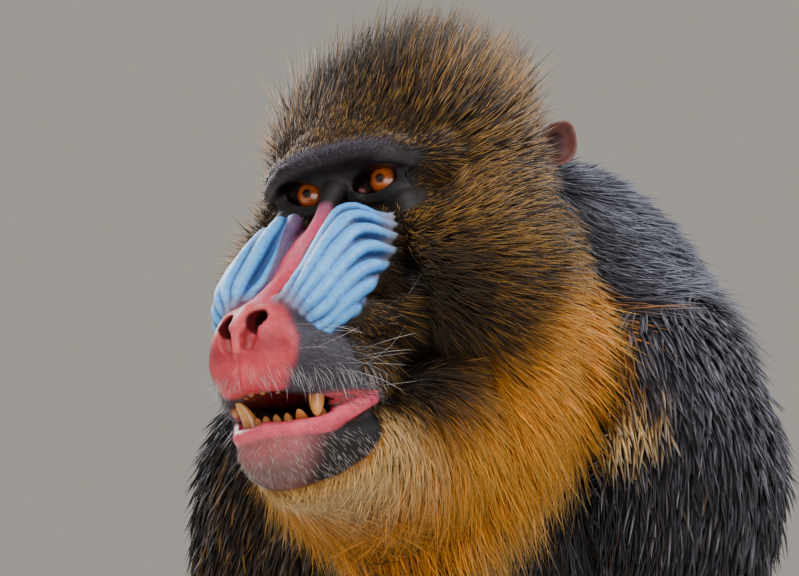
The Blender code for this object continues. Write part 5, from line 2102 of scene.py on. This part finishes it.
class Ears(HeadPart):
    """Small round ears: a thin cup with a rolled rim and a fold inside it."""

    HALF_WIDTH = 0.0128
    HALF_HEIGHT = 0.0135
    PLACE = (0.0800, 0.1285, 0.0268)
    YAW = 58
    PITCH = 8
    # Depth of the cup, heights of its rim and fold, thickness, and the share and bearing of its point
    CUP = 0.0085
    RIM = 0.0026
    FOLD = 0.0022
    THICK = 0.0022
    POINT = 0.20
    POINT_TURN = 0.95

    def build(self) -> None:
        """Makes both ears.

        The shell is a grid of turns and of a share v that runs from the middle of the cup (0) over the
        rim (1) to the middle of its back (2). The cup is 8.5 mm deep, with a rim that stands 2.6 mm up.
        """
        turns = np.linspace(0, 2 * np.pi, 57)[:-1]
        stretches = (np.linspace(0, 0.8, 16), np.linspace(0.84, 1.16, 11), np.linspace(1.2, 2.0, 10))
        v, a = np.meshgrid(np.concatenate(stretches), turns, indexing="ij")
        reach = np.where(v <= 1, v, 2 - v)
        rim = self.RIM * np.exp(-(((reach - 0.90) / 0.09) ** 2))
        fold = self.FOLD * np.exp(-(((reach - 0.55) / 0.13) ** 2)) * ramp(np.cos(a - 2.2), -0.2, 0.7)
        front = -self.CUP * (1 - reach**2) + rim + fold
        thick = self.THICK * np.sqrt(np.maximum(1 - reach**4, 0))
        back = -self.CUP * (1 - reach**2) - thick - 0.2 * rim
        depth = np.where(v <= 1, front, back)
        point_up = 1 + self.POINT * np.exp(-(((a - self.POINT_TURN) / 0.45) ** 2))
        wide = reach * np.cos(a) * self.HALF_WIDTH * point_up
        high = reach * np.sin(a) * self.HALF_HEIGHT * point_up
        faces = grid_faces(*v.shape)
        for side in Side:
            local = np.stack([side.value * wide, -depth, high], axis=-1).reshape(-1, 3)
            turn = turn_about(2, side.value * self.YAW) @ turn_about(0, self.PITCH)
            centre = np.array(side.mirror(self.PLACE))
            obj = put_mesh(f"ear_shell_{side.letter}", self.head.outward(local @ turn.T + centre), faces)
            merge_and_turn_out(obj)
            flat = (self.head.inward(read_points(obj)) - centre) @ turn
            layers = Layers("6A403A", len(flat), 0.5)
            edge = np.hypot(flat[:, 0] / self.HALF_WIDTH, flat[:, 2] / self.HALF_HEIGHT)
            # Darker in the middle of the cup as painted shade in its hollow, lighter on the rolled rim as a
            # painted highlight
            layers.lay("4A2C2C", ramp(edge, 0.75, 0.35), 0.5)
            layers.lay("7E5852", ramp(edge, 0.80, 0.98), 0.5)
            paint(obj, "tint", layers.values)
            obj.data.materials.append(bpy.data.materials["living_skin"])
            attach(obj, "root")
            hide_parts(f"ear_{side.letter}")


class Nails:
    """A dark horny nail on each digit."""

    # In radii of the digit's end: the nail's half length, width and thickness, and where its middle lies
    SIZE = np.array([0.95, 0.70, 0.30])
    RAISED = 0.72
    AHEAD = 0.35

    def __init__(self, body: Body) -> None:
        """Keeps the stretches of the body."""
        self.body = body

    def build(self) -> None:
        """Makes all the nails as one piece.

        A nail is a flattened ball, longer than wide, sunk by half into the top of the digit's end.
        """
        around = np.linspace(0, 2 * np.pi, 17)[:-1]
        down = np.linspace(0, np.pi, 9)
        d, a = np.meshgrid(down, around, indexing="ij")
        ball = np.stack([np.sin(d) * np.cos(a), np.sin(d) * np.sin(a), np.cos(d)], axis=-1).reshape(-1, 3)
        grid = grid_faces(*d.shape)
        nails = []
        for side in Side:
            for digits in (Proportions.FINGERS, Proportions.TOES):
                for tube in self.body.digits(side, digits):
                    tip, before = tube.rows[-1], tube.rows[-4]
                    way = unit(tip[:3] - before[:3])
                    across = unit(np.cross([0.0, 0.0, 1.0], way))
                    over = np.cross(way, across)
                    size = ball * tip[3] * self.SIZE
                    centre = tip[:3] + over * tip[3] * self.RAISED + way * tip[3] * self.AHEAD
                    points = centre + size[:, :1] * way + size[:, 1:2] * across + size[:, 2:] * over
                    nails.append((points, grid))
        obj = put_mesh("nails", *joined(nails))
        merge_and_turn_out(obj)
        obj.data.materials.append(self.material())
        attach(obj, "root")

    @staticmethod
    def material() -> bpy.types.Material:
        """Horn: black-brown keratin, lightly ribbed and a little glossy."""
        material, tree = start_material("nail_horn", Roughness=0.32)
        place = add_node(tree, "TexCoord").outputs["Object"]
        # Ribs about 1 mm apart
        ribs = add_node(tree, "TexNoise", Vector=place, Scale=900.0, Detail=3.0)
        colour = add_node(tree, "ValToRGB", Fac=ribs.outputs["Fac"])
        colour.color_ramp.elements[0].color = (*linear("17120F"), 1)
        colour.color_ramp.elements[1].color = (*linear("3E3430"), 1)
        feed(tree, "Base Color", colour.outputs[0])
        bump = add_node(tree, "Bump", Strength=0.3, Distance=0.0002, Height=ribs.outputs["Fac"])
        feed(tree, "Normal", bump.outputs[0])
        return material


@dataclass(frozen=True)
class FaceHair:
    """One kind of hair on the bare face: its piece, number, size, rise and bend in degrees, and looks."""

    name: str
    count: int
    length: float
    width: float
    lift: float
    bend: float
    root_colour: str
    tip_colour: str
    lie: tuple


class Whiskers(HeadPart):
    """Pale hairs of the bare face: long ones on the muzzle's side, bristles on the lips, down elsewhere."""

    SEED = 29
    SINK = 0.0006
    KINDS = (
        FaceHair("whiskers_long", 46, 0.0580, 0.00018, 24, 48, "8A8488", "F0ECEC", (0.0, 0.85, 0.04)),
        FaceHair("whiskers_lip", 240, 0.0130, 0.00019, 42, 38, "6E6870", "CEC8CA", (0.0, 0.10, -1.0)),
        FaceHair("whiskers_chin", 1100, 0.0050, 0.00018, 24, 20, "7A7070", "D8D0CC", (0.0, 0.6, -0.9)),
        FaceHair("whiskers_side", 4200, 0.0062, 0.00034, 18, 12, "2E2A30", "6E6872", (0.0, 0.8, -0.3)),
        FaceHair("brow_hair", 2400, 0.0036, 0.00036, 18, 10, "2A2329", "5E5668", (0.0, 0.7, 0.5)),
    )

    def build(self, shell: Shell) -> None:
        """Sows every kind of face hair on the face's shell.

        Args:
            shell: Points, faces and normals of the face's shell, in world places.
        """
        points, faces, corner_normals = shell
        middles = self.head.inward(points[faces].mean(axis=1))
        facing = unit(corner_normals[faces].mean(axis=1))
        x, y, z = middles.T
        side = np.abs(x)
        muzzle = bump_of(z, -0.117, 0.030) * bump_of(y, -0.078, 0.052) * ramp(side, 0.018, 0.028)
        lip = bump_of(z, -0.1275, 0.0080) * ramp(y, -0.045, -0.060)
        lip = lip * (facing @ self.head.turn[:, 1] < 0.55)
        chin = ramp(z, -0.158, -0.166) * ramp(y, -0.020, -0.045)
        velvet = ramp(z, -0.102, -0.110) * ramp(z, -0.150, -0.140)
        velvet = velvet * ramp(y, -0.015, -0.030) * ramp(y, -0.118, -0.100)
        brow = ramp(Tube.through(Proportions.BROW).distance(middles), 0.003, 0.001) * ramp(z, 0.010, 0.018)
        outside = facing @ self.head.turn[:, 2] > -0.9
        rng = np.random.default_rng(self.SEED)
        area = np.linalg.norm(across_faces(points, faces), axis=1)
        for kind, mask in zip(self.KINDS, (muzzle, lip, chin, velvet, brow)):
            odds = mask * area * outside
            count = kind.count
            rows = rng.choice(len(faces), count, p=odds / odds.sum())
            roots = sown(points, faces, rows, rng)
            way = np.tile(np.array(kind.lie), (count, 1))
            way[:, 0] += np.sign(x[rows]) * 0.35
            way = way @ self.head.turn.T + rng.normal(0, 0.16, (count, 3))
            stops = np.array([linear(kind.root_colour), linear(kind.tip_colour), linear(kind.tip_colour)])
            colours = np.tile(stops, (count, 1, 1)) * np.exp(rng.normal(0, 0.2, (count, 1, 1)))
            bearing = np.arctan2(x[rows], -y[rows]) / (2 * np.pi) + 0.5
            tufts = Tufts(
                roots,
                facing[rows],
                way,
                kind.length * rng.uniform(0.6, 1.25, count),
                np.full(count, kind.width),
                np.radians(kind.lift + rng.normal(0, 7, count)),
                np.radians(kind.bend + rng.normal(0, 12, count)),
                np.clip(colours, 0, 1),
                np.column_stack([bearing, (z[rows] + 0.25) / 0.35]),
            )
            shares = (0.0, 0.25, 0.5, 0.75) if kind.length > 0.008 else (0.0, 0.5)
            mesher = TuftMesher(tuple((s, 1.0 - 0.35 * s) for s in shares), self.SEED, self.SINK)
            piece = mesher.mesh(kind.name, tufts)
            piece.data.materials.append(bpy.data.materials["guard_hair"])
            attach(piece, "root")


@dataclass
class Studio:
    """A pale floor, soft lights and the camera at the photograph's angle."""

    distance: float = 3.0
    azimuth: float = 28.0
    elevation: float = -3.0
    focal_pixels: float = 4950.0
    frame_width: float = 799.0
    sensor: float = 36.0
    aim_right: float = 0.035
    aim_up: float = -0.0625
    floor_half: float = 12.0
    light_aim: tuple = (0.0, -0.05, 0.55)

    # Place, side in metres, power in watts and colour
    LIGHTS = {
        "key": ((0.2, -1.6, 2.6), 1.6, 62.0, (1.0, 0.97, 0.93)),
        "fill": ((1.4, -2.4, 0.35), 1.8, 38.0, (1.0, 0.98, 0.95)),
        "rim": ((1.3, 1.7, 2.0), 1.2, 66.0, (0.86, 0.92, 1.0)),
        "rim_far": ((-1.8, 1.0, 1.6), 1.2, 44.0, (0.92, 0.96, 1.0)),
    }

    def camera(self, head: HeadFrame) -> None:
        """Sets the camera on the line that the photograph was taken along.

        Args:
            head: The head's frame, whose origin the aim is measured from.
        """
        turn, rise = math.radians(self.azimuth), math.radians(self.elevation)
        back = np.array([math.sin(turn) * math.cos(rise), -math.cos(turn) * math.cos(rise), math.sin(rise)])
        right = np.array([math.cos(turn), math.sin(turn), 0.0])
        up = np.cross(back, right)
        place = head.eyes + self.aim_right * right + self.aim_up * up + self.distance * back
        data = bpy.data.cameras.new("camera")
        data.sensor_width = self.sensor
        data.lens = self.focal_pixels * self.sensor / self.frame_width
        data.clip_start, data.clip_end = 0.1, 60.0
        camera = bpy.data.objects.new("camera", data)
        matrix = np.eye(4)
        matrix[:3, 0], matrix[:3, 1], matrix[:3, 2], matrix[:3, 3] = right, up, back, place
        camera.matrix_world = Matrix(matrix.tolist())
        bpy.context.scene.collection.objects.link(camera)
        bpy.context.scene.camera = camera

    def light(self, name: str, place: tuple, size: float, power: float, colour: tuple) -> None:
        """Adds one square soft light that points at the head.

        Args:
            name: What it is.
            place: Where it hangs.
            size: The length of its side.
            power: Its power in watts.
            colour: Its colour.
        """
        data = bpy.data.lights.new(name, "AREA")
        data.shape = "SQUARE"
        data.size = size
        data.energy = power
        data.color = colour
        obj = bpy.data.objects.new(name, data)
        obj.location = place
        way = Vector(self.light_aim) - Vector(place)
        obj.rotation_euler = way.to_track_quat("-Z", "Y").to_euler()
        bpy.context.scene.collection.objects.link(obj)

    def build(self) -> None:
        """Lays the floor, hangs the lights and sets the world's pale glow."""
        corners = np.array([[-1.0, -1.0, 0.0], [1.0, -1.0, 0.0], [1.0, 1.0, 0.0], [-1.0, 1.0, 0.0]])
        floor = put_mesh("floor", corners * self.floor_half, np.array([[0, 1, 2, 3]]))
        paper = start_material("matt_paper", Base_Color=(*linear("D9D4CC"), 1.0), Roughness=0.9)[0]
        floor.data.materials.append(paper)
        floor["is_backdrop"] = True
        for name, (place, size, power, colour) in self.LIGHTS.items():
            self.light(name, place, size, power, colour)
        world = bpy.data.worlds.new("studio")
        world.use_nodes = True
        glow = world.node_tree.nodes["Background"]
        glow.inputs["Color"].default_value = (*linear("C9C2B8"), 1.0)
        glow.inputs["Strength"].default_value = 0.65
        bpy.context.scene.world = world


def main() -> None:
    """Builds the animal and the studio in order."""
    logging.basicConfig(level=logging.INFO, format="%(message)s")
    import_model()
    head = HeadFrame.of_model()
    studio = Studio()
    studio.camera(head)
    studio.build()
    body = Body(head)
    face = Face()
    coat = Coat(head, body, face)
    skin_maker = Skin(head, body, face, coat)
    skin = skin_maker.build()
    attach(skin, "root")
    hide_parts(*FLESH_NODES)
    for piece in coat.build(skin_maker.shells):
        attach(piece, "root")
    Eyes(head).build()
    Teeth(head).build()
    Ears(head).build()
    Nails(body).build()
    Whiskers(head).build(skin_maker.shells[0])


if __name__ == "__main__":
    main()
